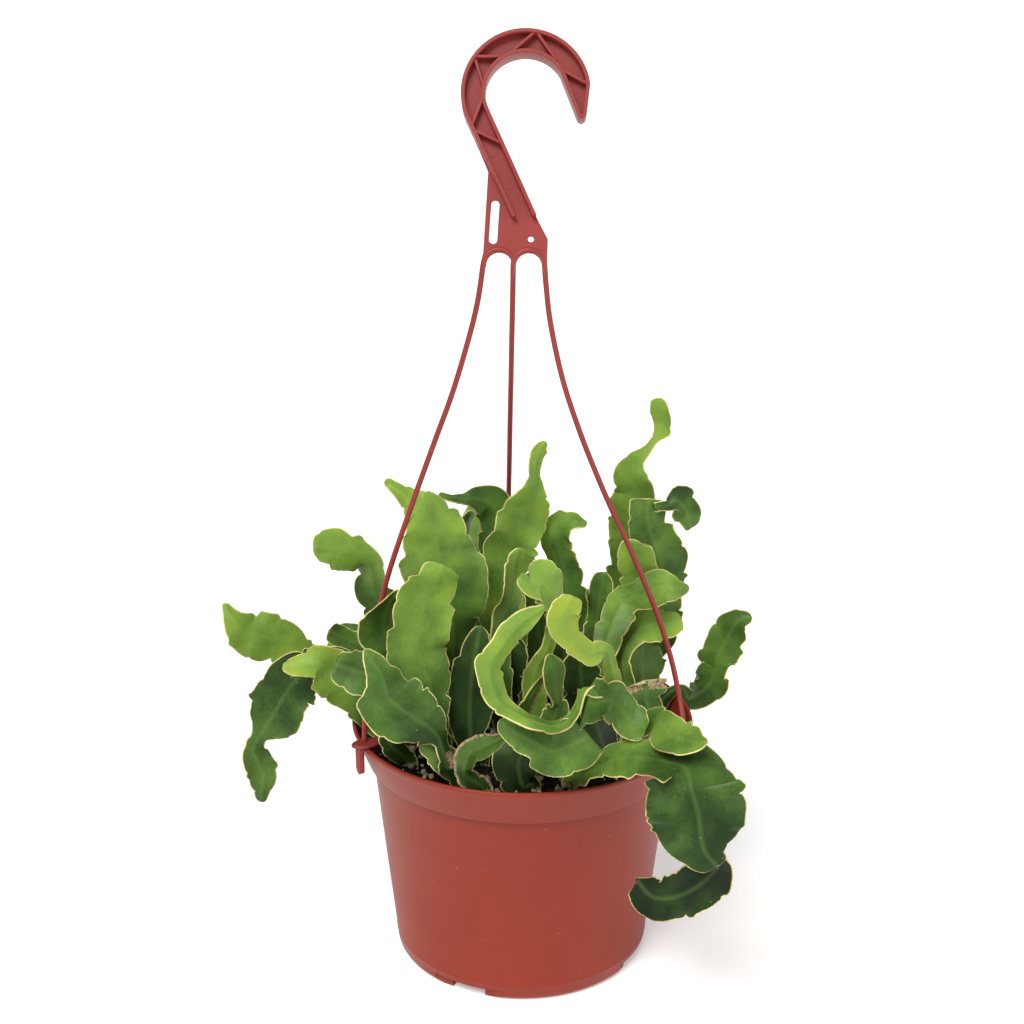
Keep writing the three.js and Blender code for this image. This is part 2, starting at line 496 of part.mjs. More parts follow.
    node: 'stem_ring', stations: [
      [25.7, -85, 143.1, 11.1, -0.1, 0], [21.8, -84.5, 139.9, 11.1, -0.3, 0],
      [18.3, -83, 137.5, 10.8, -0.3, 0.1], [11.5, -81.5, 134.3, 10.2, -0.2, 0.2],
      [5, -80.5, 137.3, 7.2, 0, 0.3], [-1.7, -79.5, 140.8, 6.2, 0, 0.2],
      [-7, -78.5, 144.3, 4.2, -0.1, 0.1], [-8.6, -78, 147.2, 1.2, -0.3, 0],
    ],
  },
];

const PLASTIC_RED = '#a0483a';
const HANGER_RED = '#b0534a';
const SOIL_BLACK = '#241c16';
const STEM_DARK = '#35622e';
const STEM_GREEN = '#4c7f33';
const STEM_BRIGHT = '#7aa82f';
const POT_ROUGHNESS = 0.45;
const SOIL_ROUGHNESS = 0.95;
const HANGER_ROUGHNESS = 0.4;
const STEM_ROUGHNESS = 0.4;

const BRIGHT_STEMS = new Set([
  'stem_left_bright', 'stem_centre_boomerang', 'stem_centre_small_bright', 'stem_right_broad_bright',
  'stem_right_low_bright', 'stem_right_inner_bright', 'stem_ring', 'stem_right_arch',
]);
const DARK_STEMS = new Set([
  'stem_left_dark', 'stem_left_low_dark', 'stem_centre_left_dark', 'stem_upper_dark_leaning',
  'stem_front_low_dark', 'stem_right_grey', 'stem_right_corky', 'stem_inner_left', 'stem_inner_front',
  'stem_inner_right', 'stem_inner_back',
]);

// Only positions are kept, shared vertices are merged, and the faces are turned to point out
function closedGeometry(geometry) {
  const bare = new THREE.BufferGeometry();
  bare.setAttribute('position', geometry.getAttribute('position').clone());
  if (geometry.index) bare.setIndex(geometry.index.clone());
  const merged = mergeVertices(bare, 1e-4);
  const index = merged.index.array;
  const kept = [];
  for (let i = 0; i < index.length; i += 3) {
    const [a, b, c] = [index[i], index[i + 1], index[i + 2]];
    if (a !== b && b !== c && c !== a) kept.push(a, b, c);
  }
  if (signedVolume(merged.getAttribute('position'), kept) < 0) kept.reverse();
  merged.setIndex(kept);
  return merged;
}

function signedVolume(position, index) {
  const [a, b, c] = [new THREE.Vector3(), new THREE.Vector3(), new THREE.Vector3()];
  let volume = 0;
  for (let i = 0; i < index.length; i += 3) {
    a.fromBufferAttribute(position, index[i]);
    b.fromBufferAttribute(position, index[i + 1]);
    c.fromBufferAttribute(position, index[i + 2]);
    volume += a.dot(b.cross(c)) / 6;
  }
  return volume;
}

function toSolid(geometry) {
  const closed = closedGeometry(geometry);
  return new wasm.Manifold(new wasm.Mesh({
    numProp: 3,
    vertProperties: new Float32Array(closed.getAttribute('position').array),
    triVerts: new Uint32Array(closed.index.array),
  }));
}

function toGeometry(solid) {
  const mesh = solid.getMesh();
  const geometry = new THREE.BufferGeometry();
  geometry.setAttribute('position', new THREE.BufferAttribute(new Float32Array(mesh.vertProperties), 3));
  geometry.setIndex(Array.from(mesh.triVerts));
  return geometry;
}

function joinAll(solids) {
  return solids.reduce((whole, piece) => whole.add(piece));
}

function namedMesh(name, geometry, color, roughness) {
  geometry.computeVertexNormals();
  const material = new THREE.MeshStandardMaterial({ color, roughness, metalness: 0 });
  const mesh = new THREE.Mesh(geometry, material);
  mesh.name = name;
  return mesh;
}

// Turns a profile of [radius, height] points about the Z axis
function revolved(profile) {
  const points = profile.map(([radius, height]) => new THREE.Vector2(radius, height));
  const geometry = new THREE.LatheGeometry(points, POT_SIDES);
  geometry.rotateX(Math.PI / 2);
  return geometry;
}

// A box given by its size and centre, turned about the Z axis by an angle in degrees
function turnedBox(size, centre, degrees) {
  const geometry = new THREE.BoxGeometry(...size);
  geometry.translate(...centre);
  geometry.rotateZ(THREE.MathUtils.degToRad(degrees));
  return geometry;
}

function makePot() {
  const bandFoot = POT_HEIGHT - BAND_HEIGHT;
  const innerLip = LIP_RADIUS - LIP_THICKNESS;
  const outside = [
    [0, 0],
    [FOOT_RADIUS, 0],
    [WALL_FOOT_RADIUS - FOOT_CHAMFER, FOOT_CHAMFER],
    [WALL_FOOT_RADIUS, FOOT_CORNER_HEIGHT],
    [WALL_TOP_RADIUS, bandFoot - BAND_EDGE],
    [BAND_FOOT_RADIUS - BAND_CHAMFER, bandFoot],
    [BAND_FOOT_RADIUS, bandFoot + BAND_EDGE],
    [LIP_RADIUS - LIP_NECK.inset, POT_HEIGHT - LIP_NECK.drop],
    [LIP_RADIUS, POT_HEIGHT - LIP_HEIGHT],
    [LIP_RADIUS, POT_HEIGHT],
  ];
  const inside = [
    [innerLip, POT_HEIGHT],
    [innerLip - LIP_NECK.inset, POT_HEIGHT - LIP_NECK.drop],
    [BAND_FOOT_RADIUS - WALL_THICKNESS, bandFoot + BAND_EDGE],
    [WALL_TOP_RADIUS - WALL_THICKNESS, bandFoot - WALL_THICKNESS],
    [wallRadius(FOOT_THICK_HEIGHT) - WALL_THICKNESS, FOOT_THICK_HEIGHT],
    [FOOT_INNER.radius, FOOT_INNER.height],
    [FLOOR_RADIUS, FLOOR_THICKNESS],
    [0, FLOOR_THICKNESS],
  ];
  let pot = toSolid(revolved([...outside, ...inside]));
  const height = NOTCH_HEIGHT + CUT_MARGIN;
  const middle = NOTCH_HEIGHT - height / 2;
  for (const angle of NOTCH_ANGLES) {
    const recessAt = [NOTCH_FLOOR_RADIUS + NOTCH_REACH / 2, 0, middle];
    const recess = turnedBox([NOTCH_REACH, NOTCH_WIDTH, height], recessAt, angle);
    const drain = turnedBox([2 * DRAIN_REACH, DRAIN_WIDTH, height], [WALL_FOOT_RADIUS, 0, middle], angle);
    pot = pot.subtract(toSolid(recess)).subtract(toSolid(drain));
  }
  return namedMesh('pot', toGeometry(pot), PLASTIC_RED, POT_ROUGHNESS);
}

// Outside radius of the tapered wall at a height above the rounded foot
function wallRadius(height) {
  const share = (height - FOOT_CORNER_HEIGHT) / (POT_HEIGHT - BAND_HEIGHT - FOOT_CORNER_HEIGHT);
  return THREE.MathUtils.lerp(WALL_FOOT_RADIUS, WALL_TOP_RADIUS, share);
}

function makeSoil() {
  const bandFoot = POT_HEIGHT - BAND_HEIGHT;
  const clear = 2 * GAP;
  const bandTaper = (LIP_RADIUS - BAND_FOOT_RADIUS) / BAND_HEIGHT;
  const topRadius = LIP_RADIUS - LIP_THICKNESS - clear - (POT_HEIGHT - SOIL_TOP) * bandTaper;
  const profile = [
    [0, FLOOR_THICKNESS + GAP],
    [FLOOR_RADIUS - clear, FLOOR_THICKNESS + GAP],
    [FOOT_INNER.radius - clear, FOOT_INNER.height],
    [wallRadius(FOOT_THICK_HEIGHT) - WALL_THICKNESS - clear, FOOT_THICK_HEIGHT],
    [WALL_TOP_RADIUS - WALL_THICKNESS - clear, bandFoot - WALL_THICKNESS],
    [BAND_FOOT_RADIUS - WALL_THICKNESS - clear, bandFoot + BAND_EDGE + GAP],
    [topRadius, SOIL_TOP],
    [0, SOIL_TOP + SOIL_MOUND],
  ];
  let soil = toSolid(revolved(profile));
  const holeFloor = SOIL_TOP - ROOT_DEPTH - GAP;
  const holeHeight = SOIL_TOP + SOIL_MOUND + CUT_MARGIN - holeFloor;
  for (const { root } of STEMS) {
    if (!root) continue;
    const hole = new THREE.CylinderGeometry(ROOT_HOLE_RADIUS, ROOT_HOLE_RADIUS, holeHeight, ROOT_HOLE_SIDES);
    hole.rotateX(Math.PI / 2);
    hole.translate(...root, holeFloor + holeHeight / 2);
    soil = soil.subtract(toSolid(hole));
  }
  return namedMesh('soil', toGeometry(soil), SOIL_BLACK, SOIL_ROUGHNESS);
}

// Hanger plane: u to the right, v up the leaning hook, w towards the front
function hangerMatrix() {
  const lean = THREE.MathUtils.degToRad(HANGER_LEAN);
  const right = new THREE.Vector3(1, 0, 0);
  const up = new THREE.Vector3(0, Math.sin(lean), Math.cos(lean));
  const front = new THREE.Vector3().crossVectors(right, up);
  return new THREE.Matrix4().makeBasis(right, up, front).setPosition(HANGER_ORIGIN);
}

// A flat piece in the hanger plane, centred on the middle of the hook's depth
function plateSolid(shape, depth) {
  const geometry = new THREE.ExtrudeGeometry(shape, { depth, bevelEnabled: false });
  geometry.translate(0, 0, -HOOK_DEPTH / 2 - depth / 2);
  geometry.applyMatrix4(hangerMatrix());
  return toSolid(geometry);
}

function arcPoints(centre, radius, fromDegrees, toDegrees, steps) {
  const points = [];
  for (let i = 0; i <= steps; i += 1) {
    const angle = THREE.MathUtils.degToRad(THREE.MathUtils.lerp(fromDegrees, toDegrees, i / steps));
    points.push([centre[0] + radius * Math.cos(angle), centre[1] + radius * Math.sin(angle)]);
  }
  return points;
}

function shapeOf(points) {
  return new THREE.Shape(points.map(([u, v]) => new THREE.Vector2(u, v)));
}

// A strip of constant width along a line of points
function stripShape(points, width) {
  const left = [];
  const right = [];
  points.forEach((point, i) => {
    const before = points[Math.max(i - 1, 0)];
    const after = points[Math.min(i + 1, points.length - 1)];
    const along = new THREE.Vector2(after[0] - before[0], after[1] - before[1]).normalize();
    left.push([point[0] - along.y * width / 2, point[1] + along.x * width / 2]);
    right.push([point[0] + along.y * width / 2, point[1] - along.x * width / 2]);
  });
  return shapeOf([...left, ...right.reverse()]);
}

function outerRimLine(inset) {
  return arcPoints(HOOK_CENTRE, HOOK_OUTER_RADIUS - inset, OUTER_ARC.from, OUTER_ARC.to, HOOK_ARC_STEPS);
}

function innerRimLine(inset) {
  return arcPoints(HOOK_CENTRE, HOOK_INNER_RADIUS + inset, INNER_ARC.from, INNER_ARC.to, HOOK_ARC_STEPS);
}

function archOutline([u, v]) {
  return [
    [u - ARCH_RADIUS, PLATE_FOOT],
    ...arcPoints([u, v], ARCH_RADIUS, 180, 0, ARCH_STEPS),
    [u + ARCH_RADIUS, PLATE_FOOT],
  ];
}

// The thin web of the hook and plate, with the slot and the pin hole in it
function webShape() {
  const { centre, radius, from, to, steps } = HOOK_TIP;
  const web = shapeOf([
    [PLATE_RIGHT, PLATE_FOOT], PLATE_SHOULDER, SHANK_RIGHT_FOOT,
    ...innerRimLine(0).reverse(),
    ...arcPoints(centre, radius, from, to, steps),
    ...outerRimLine(0),
    SHANK_LEFT_FOOT, [PLATE_LEFT, PLATE_FOOT],
    ...ARCH_CENTRES.flatMap(archOutline),
  ]);
  web.holes.push(shapeOf([
    ...arcPoints(SLOT.high, SLOT.width / 2, 0, 180, SLOT.steps),
    ...arcPoints(SLOT.low, SLOT.width / 2, 180, 360, SLOT.steps),
  ]));
  const lastSide = 360 - 360 / PIN_HOLE.sides;
  web.holes.push(shapeOf(arcPoints(PIN_HOLE.centre, PIN_HOLE.radius, 0, lastSide, PIN_HOLE.sides - 1)));
  return web;
}

function makeHookSolids() {
  const inset = RIB_WIDTH / 2;
  const outerRib = [...OUTER_RIB_TIP, ...outerRimLine(inset), OUTER_RIB_FOOT];
  const innerRibFoot = [SHANK_RIGHT_FOOT[0] - inset, SHANK_RIGHT_FOOT[1]];
  const innerRib = [INNER_RIB_TIP, ...innerRimLine(inset), innerRibFoot];
  const archRims = ARCH_CENTRES.map((centre) => (
    arcPoints(centre, ARCH_RADIUS + inset, ARCH_RIM.from, ARCH_RIM.to, ARCH_STEPS)
  ));
  return [
    plateSolid(webShape(), WEB_THICKNESS),
    ...[outerRib, innerRib].map((line) => plateSolid(stripShape(line, RIB_WIDTH), HOOK_DEPTH)),
    ...ZIGZAG_RIBS.map((line) => plateSolid(stripShape(line, ZIGZAG_WIDTH), ZIGZAG_DEPTH)),
    ...archRims.map((line) => plateSolid(stripShape(line, RIB_WIDTH), 2 * WEB_THICKNESS)),
  ];
}

function wireSolid(route) {
  const curve = new THREE.CatmullRomCurve3(route.map((point) => new THREE.Vector3(...point)));
  const section = shapeOf(arcPoints([0, 0], WIRE_RADIUS, 0, 360 - 360 / WIRE_SIDES, WIRE_SIDES - 1));
  return toSolid(new THREE.ExtrudeGeometry(section, { steps: WIRE_STEPS, extrudePath: curve }));
}

// A clip's disc lies on the lip, its leg hangs outside and its tongue inside
function clipSolids(angle) {
  const discBottom = POT_HEIGHT + GAP;
  const disc = new THREE.CylinderGeometry(1, 1, CLIP_DISC.thickness, CLIP_DISC.sides);
  disc.rotateX(Math.PI / 2);
  disc.scale(CLIP_DISC.deep / 2, CLIP_DISC.across / 2, 1);
  disc.translate(LIP_RADIUS - CLIP_DISC.inset, 0, discBottom + CLIP_DISC.thickness / 2);
  disc.rotateZ(THREE.MathUtils.degToRad(angle));
  const legTop = discBottom + CLIP_DISC.thickness / 2;
  const legSize = [CLIP_LEG.thickness, CLIP_LEG.width, CLIP_LEG.length];
  const legX = LIP_RADIUS + CLIP_LEG.clear + CLIP_LEG.thickness / 2;
  const tongueSize = [CLIP_TONGUE.thickness, CLIP_TONGUE.width, CLIP_TONGUE.length];
  const tongueX = LIP_RADIUS - LIP_THICKNESS - CLIP_TONGUE.clear - CLIP_TONGUE.thickness / 2;
  return [
    toSolid(disc),
    toSolid(turnedBox(legSize, [legX, 0, legTop - CLIP_LEG.length / 2], angle)),
    toSolid(turnedBox(tongueSize, [tongueX, 0, legTop - CLIP_TONGUE.length / 2], angle)),
  ];
}

function makeHanger() {
  const solids = makeHookSolids();
  for (const wire of WIRES) {
    solids.push(wireSolid(wire.route), ...clipSolids(wire.clipAngle));
  }
  return namedMesh('hanger', toGeometry(joinAll(solids)), HANGER_RED, HANGER_ROUGHNESS);
}

// A rooted stem starts below the soil, and a side stem starts inside the stem that it grows from
function rootedStations(stem) {
  if (!stem.root) return stem.stations;
  const [x, y] = stem.root;
  const first = stem.stations[0];
  return [
    [x, y, SOIL_TOP - ROOT_DEPTH, ROOT_HALF_WIDTH, first[4], first[5]],
    [x, y, SOIL_TOP + ROOT_COLLAR, ROOT_TOP_HALF_WIDTH, first[4], first[5]],
    ...stem.stations,
  ];
}

function splineThrough(points) {
  return new THREE.CatmullRomCurve3(points, false, 'catmullrom', 0.5);
}

// One flat, waved and notched ribbon. Each row has six points: left, middle and right, on both faces.
function ribbonGeometry(stem, phase) {
  const stations = rootedStations(stem);
  const centre = splineThrough(stations.map((s) => new THREE.Vector3(s[0], s[1], s[2])));
  const shape = splineThrough(stations.map((s) => new THREE.Vector3(s[3], s[4], s[5])));
  const length = centre.getLength();
  const rowCount = Math.max(FEWEST_ROWS, Math.round(length / LOBE_LENGTH * ROWS_PER_LOBE));
  const positions = [];
  for (let row = 0; row <= rowCount; row += 1) {
    const t = centre.getUtoTmapping(row / rowCount);
    const point = centre.getPoint(t);
    const along = centre.getTangent(t);
    const [halfWidth, faceX, faceZ] = shape.getPoint(t).toArray();
    const across = new THREE.Vector3(faceX, -1, faceZ).cross(along).negate().normalize();
    const face = new THREE.Vector3().crossVectors(across, along).normalize();
    const wave = 2 * Math.PI * length * row / rowCount / WAVE_LENGTH;
    const edges = [-1, 1].map((side) => {
      const lobeRow = (row + phase + (side > 0 ? 2 : 0)) % ROWS_PER_LOBE;
      const cut = Math.min(NOTCH_CUT, NOTCH_SHARE * halfWidth) * LOBE_CUT[lobeRow];
      const lift = WAVE_SHARE * halfWidth * Math.sin(wave + phase + side);
      return { reach: Math.max(halfWidth - cut, LEAST_REACH) * side, lift };
    });
    const places = [
      { reach: edges[0].reach, lift: edges[0].lift, thickness: MARGIN_THICKNESS },
      { reach: 0, lift: -CUP_SHARE * halfWidth, thickness: MIDRIB_THICKNESS },
      { reach: edges[1].reach, lift: edges[1].lift, thickness: MARGIN_THICKNESS },
    ];
    for (const side of [1, -1]) {
      for (const place of places) {
        const corner = point.clone()
          .addScaledVector(across, place.reach)
          .addScaledVector(face, place.lift + side * place.thickness / 2);
        positions.push(...corner.toArray());
      }
    }
  }
  const geometry = new THREE.BufferGeometry();
  geometry.setAttribute('position', new THREE.Float32BufferAttribute(positions, 3));
  geometry.setIndex(ribbonFaces(rowCount));
  return geometry;
}

// Both faces are split along the same diagonals, so that they never cross
function ribbonFaces(rowCount) {
  const faces = [];
  const quad = (a, b, c, d) => faces.push(a, b, c, a, c, d);
  for (let row = 0; row < rowCount; row += 1) {
    const here = row * 6;
    const next = here + 6;
    for (const k of [0, 1]) {
      quad(here + k, here + k + 1, next + k + 1, next + k);
      faces.push(here + k + 3, next + k + 4, here + k + 4, here + k + 3, next + k + 3, next + k + 4);
    }
    quad(here + 3, here, next, next + 3);
    quad(here + 2, here + 5, next + 5, next + 2);
  }
  const last = rowCount * 6;
  for (const k of [0, 1]) {
    quad(k, k + 3, k + 4, k + 1);
    quad(last + k, last + k + 1, last + k + 4, last + k + 3);
  }
  return faces;
}

function stemColour(node) {
  if (BRIGHT_STEMS.has(node)) return STEM_BRIGHT;
  return DARK_STEMS.has(node) ? STEM_DARK : STEM_GREEN;
}

function makeStems() {
  const nodes = new Map();
  STEMS.forEach((stem, i) => {
    const solid = toSolid(ribbonGeometry(stem, i % ROWS_PER_LOBE));
    nodes.set(stem.node, [...(nodes.get(stem.node) ?? []), solid]);
  });
  return [...nodes].map(([node, solids]) => (
    namedMesh(node, toGeometry(joinAll(solids)), stemColour(node), STEM_ROUGHNESS)
  ));
}

const plant = new THREE.Group();
plant.add(makePot(), makeSoil(), makeHanger(), ...makeStems());

export default plant;
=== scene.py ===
"""Potted curly locks cactus with its clip-on hanger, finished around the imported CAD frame.

Every CAD node is replaced by a finer piece of the same form: the pot, the potting mix, the hanger and
each curly stem. Sizes are in millimetres in the CAD frame, with +Z up and -Y to the front, and turn into
metres when a mesh is made.
"""

from __future__ import annotations

import logging
import math
from dataclasses import dataclass
from enum import Enum
from itertools import combinations
from typing import Any, Iterable, Sequence

import bpy
import numpy as np
from mathutils import Matrix, Vector

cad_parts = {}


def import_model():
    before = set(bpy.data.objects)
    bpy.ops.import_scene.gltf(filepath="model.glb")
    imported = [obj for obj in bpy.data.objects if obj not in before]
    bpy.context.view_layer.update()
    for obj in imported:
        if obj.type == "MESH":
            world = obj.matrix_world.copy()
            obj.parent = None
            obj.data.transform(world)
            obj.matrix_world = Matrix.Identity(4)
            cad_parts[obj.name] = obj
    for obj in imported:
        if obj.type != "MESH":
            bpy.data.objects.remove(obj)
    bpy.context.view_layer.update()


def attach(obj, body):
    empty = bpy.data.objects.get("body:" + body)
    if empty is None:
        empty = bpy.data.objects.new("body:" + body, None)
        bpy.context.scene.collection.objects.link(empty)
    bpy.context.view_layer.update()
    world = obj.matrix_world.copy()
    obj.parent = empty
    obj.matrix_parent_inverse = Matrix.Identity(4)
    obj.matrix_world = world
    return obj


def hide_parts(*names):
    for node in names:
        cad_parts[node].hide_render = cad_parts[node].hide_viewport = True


LOG = logging.getLogger("curly_locks_cactus")
MM = 0.001
BODY = "root"

Point = tuple[float, float]
Place = tuple[float, float, float]
Station = tuple[float, float, float, float, float, float]
Sweep = tuple[float, float, int]
NodeTree = bpy.types.NodeTree
Socket = bpy.types.NodeSocket

# Lengths that differ by no more than this share, or this many millimetres, count as the same
SAME = 0.01

# Sockets of Blender's colour mix node
MIX_FACTOR = 0
MIX_FIRST = 6
MIX_SECOND = 7
MIX_RESULT = 2

# How finely a spline is measured between two of its points
SPLINE_STEPS = 40

# The most of a side that the rounding of one of its corners may take
CORNER_SHARE = 0.48

# A rod's rings: a direction that no rod runs along and that its rings are turned from, the number of
# rings in a rounded end, the first one's angle, and the share of its radius that a rooted rod starts with
ROD_GUIDE = (0.0, 1.0, 0.05)
CAP_RINGS = 6
CAP_START = 0.1
ROOT_SHARE = 0.3

# Stands a plate that lies in the XY plane upright, with its thickness along X
UPRIGHT = Matrix(((0, 0, 1, 0), (1, 0, 0, 0), (0, 1, 0, 0), (0, 0, 0, 1)))


def linear(hex_colour: str) -> tuple[float, float, float, float]:
    """Turn an sRGB hex colour into linear red, green, blue and alpha.

    Args:
        hex_colour: A colour such as "#9e483b".

    Returns:
        The linear colour with full alpha.
    """
    digits = hex_colour.lstrip("#")
    shares = [int(digits[i:i + 2], 16) / 255 for i in (0, 2, 4)]
    red, green, blue = (s / 12.92 if s <= 0.04045 else ((s + 0.055) / 1.055) ** 2.4 for s in shares)
    return red, green, blue, 1.0


def add_node(
    tree: NodeTree,
    kind: str,
    settings: dict[str | int, Any] | None = None,
    links: dict[str | int, Socket] | None = None,
) -> bpy.types.Node:
    """Add one shader node with its settings and links.

    Args:
        tree: The material's node tree.
        kind: Blender's type name of the node.
        settings: Values by input name or number, or by the node's own property.
        links: Sockets to link in, by input name or number.

    Returns:
        The new node.
    """
    node = tree.nodes.new(kind)
    for name, value in (settings or {}).items():
        if isinstance(name, str) and name not in node.inputs:
            setattr(node, name, value)
        else:
            node.inputs[name].default_value = value
    for name, socket in (links or {}).items():
        tree.links.new(socket, node.inputs[name])
    return node


def show(name: str, data: bpy.types.ID) -> bpy.types.Object:
    """Put a mesh, curve, lamp or camera into the scene.

    Args:
        name: The new object's name.
        data: What the object shows.

    Returns:
        The new object.
    """
    shown = bpy.data.objects.new(name, data)
    bpy.context.scene.collection.objects.link(shown)
    return shown


def smooth_step(low: float, high: float, value: np.ndarray) -> np.ndarray:
    """Rise smoothly from 0 at low to 1 at high."""
    share = np.clip((value - low) / (high - low), 0.0, 1.0)
    return share * share * (3 - 2 * share)


def arc(centre: Point, radius: float, sweep: Sweep) -> list[Point]:
    """Points along an arc.

    Args:
        centre: The arc's centre.
        radius: The arc's radius.
        sweep: The angles of its first and last point in degrees, and the number of steps between them.

    Returns:
        The points in order.
    """
    start, end, steps = sweep
    angles = np.radians(np.linspace(start, end, steps + 1))
    return [(centre[0] + radius * math.cos(a), centre[1] + radius * math.sin(a)) for a in angles]


def circle(centre: Point, radius: float, sides: int = 24) -> list[Point]:
    """The corners of a circle, without the first one again at the end."""
    return arc(centre, radius, (0, 360 - 360 / sides, sides - 1))


def strip(line: Sequence[Point], width: float) -> list[Point]:
    """Outline of a strip of constant width along a line of points.

    Args:
        line: The points of the strip's middle.
        width: The strip's width.

    Returns:
        The outline, along one side and back along the other.
    """
    points = np.array(line, dtype=float)
    before = np.vstack([points[:1], points[:-1]])
    after = np.vstack([points[1:], points[-1:]])
    along = after - before
    along /= np.linalg.norm(along, axis=1)[:, None]
    aside = np.stack([-along[:, 1], along[:, 0]], axis=1) * width / 2
    return [tuple(p) for p in np.vstack([points + aside, (points - aside)[::-1]])]


def spline(points: np.ndarray, where: np.ndarray) -> tuple[np.ndarray, np.ndarray]:
    """A smooth curve through points, as the CAD source draws it.

    Args:
        points: The points that the curve passes through, one row each.
        where: Places on the curve, from 0 at the first point to 1 at the last.

    Returns:
        The places' coordinates and the curve's slope there.
    """
    ends = np.vstack([2 * points[0] - points[1], points, 2 * points[-1] - points[-2]])
    place = np.clip(where, 0.0, 1.0) * (len(points) - 1)
    span = np.minimum(place.astype(int), len(points) - 2)
    t = (place - span)[:, None]
    first, second = ends[span + 1], ends[span + 2]
    leave, arrive = (second - ends[span]) / 2, (ends[span + 3] - first) / 2
    square, bend = 3 * (second - first) - 2 * leave - arrive, 2 * (first - second) + leave + arrive
    return first + leave * t + square * t**2 + bend * t**3, leave + 2 * square * t + 3 * bend * t**2


def places_along(points: np.ndarray, shares: np.ndarray) -> tuple[np.ndarray, float]:
    """Places on a spline that lie at given shares of its length.

    Args:
        points: The points that the spline passes through.
        shares: Shares of the length, from 0 to 1.

    Returns:
        The places from 0 to 1, and the spline's length.
    """
    fine = np.linspace(0.0, 1.0, SPLINE_STEPS * len(points))
    steps = np.linalg.norm(np.diff(spline(points, fine)[0], axis=0), axis=1)
    travelled = np.concatenate([[0.0], np.cumsum(steps)])
    return np.interp(shares * travelled[-1], travelled, fine), float(travelled[-1])


class Form:
    """Vertices and faces in millimetres, gathered piece by piece, with named values at each vertex."""

    def __init__(self) -> None:
        """Start an empty form."""
        self.vertices: list[np.ndarray] = []
        self.faces: list[tuple[int, ...]] = []
        self.values: dict[str, list[np.ndarray]] = {}
        self.count = 0

    def add(self, vertices: np.ndarray, faces: Iterable[Sequence[int]], **values: np.ndarray) -> None:
        """Add a piece.

        Args:
            vertices: The piece's vertices, one row each.
            faces: The piece's faces, counted from its own first vertex.
            **values: One number for each vertex, by the name that a finish reads.
        """
        start = self.count
        self.vertices.append(np.asarray(vertices, dtype=float))
        self.faces.extend(tuple(int(i) + start for i in face) for face in faces)
        for name, numbers in values.items():
            self.values.setdefault(name, []).append(np.asarray(numbers, dtype=float))
        self.count += len(vertices)

    def add_form(self, other: Form, matrix: Matrix | None = None) -> None:
        """Add the vertices and faces of another form.

        Args:
            other: The form that is added.
            matrix: Where it goes, in millimetres.
        """
        vertices = np.vstack(other.vertices)
        if matrix is not None:
            turn = np.array(matrix.to_3x3())
            vertices = vertices @ turn.T + np.array(matrix.translation)
        self.add(vertices, other.faces)

    def to_piece(
        self, name: str, finish: Finish, slot: str, nodes: Sequence[str] = (), crease: float = 180.0
    ) -> bpy.types.Object:
        """Make the Blender object, dressed and riding on the part.

        Args:
            name: The object's name.
            finish: The finish that dresses it.
            slot: The record's material slot that the finish belongs to; not used.
            nodes: The CAD nodes that the object stands for.
            crease: Edges sharper than this many degrees stay sharp.

        Returns:
            The new object.
        """
        mesh = bpy.data.meshes.new(name)
        mesh.from_pydata((np.vstack(self.vertices) * MM).tolist(), [], self.faces)
        mesh.shade_smooth()
        if crease < 180.0:
            mesh.set_sharp_from_angle(angle=math.radians(crease))
        for value_name, pieces in self.values.items():
            layer = mesh.attributes.new(value_name, "FLOAT", "POINT")
            layer.data.foreach_set("value", np.concatenate(pieces).astype(np.float32))
        mesh.materials.append(finish.material())
        piece = show(name, mesh)
        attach(piece, BODY)
        if nodes:
            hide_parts(*nodes)
        LOG.info("%s: %d vertices, %d faces", name, len(mesh.vertices), len(mesh.polygons))
        return piece


def moulded_plate(
    outline: Sequence[Point], depth: float, edge: float, holes: Sequence[Sequence[Point]] = ()
) -> Form:
    """A flat plate with rounded edges, centred on the plane of its outline.

    Args:
        outline: The plate's outline.
        depth: The plate's thickness.
        edge: The radius of its rounded edges.
        holes: The outlines of the holes through it.

    Returns:
        The plate, lying in the XY plane.
    """
    curve = bpy.data.curves.new("plate_outline", "CURVE")
    curve.dimensions = "2D"
    curve.fill_mode = "BOTH"
    curve.extrude = depth / 2 - edge
    curve.bevel_depth = edge
    curve.bevel_resolution = 2
    curve.offset = -edge
    for line in [outline, *holes]:
        piece = curve.splines.new("POLY")
        piece.points.add(len(line) - 1)
        for point, (x, y) in zip(piece.points, line):
            point.co = (x, y, 0.0, 1.0)
        piece.use_cyclic_u = True
    holder = show("plate_outline", curve)
    ready = holder.evaluated_get(bpy.context.evaluated_depsgraph_get())
    mesh = bpy.data.meshes.new_from_object(ready)
    form = Form()
    form.add(np.array([v.co for v in mesh.vertices]), [p.vertices for p in mesh.polygons])
    bpy.data.objects.remove(holder)
    bpy.data.curves.remove(curve)
    bpy.data.meshes.remove(mesh)
    return form


def ring_faces(rows: int, around: int) -> list[tuple[int, ...]]:
    """Four-sided faces between rings of vertices that follow one another.

    Args:
        rows: The number of rings.
        around: The number of vertices in each ring.

    Returns:
        The faces, ring by ring.
    """
    faces: list[tuple[int, ...]] = []
    for row in range(rows - 1):
        here, ahead = row * around, (row + 1) * around
        for k in range(around):
            after = (k + 1) % around
            faces.append((here + k, here + after, ahead + after, ahead + k))
    return faces


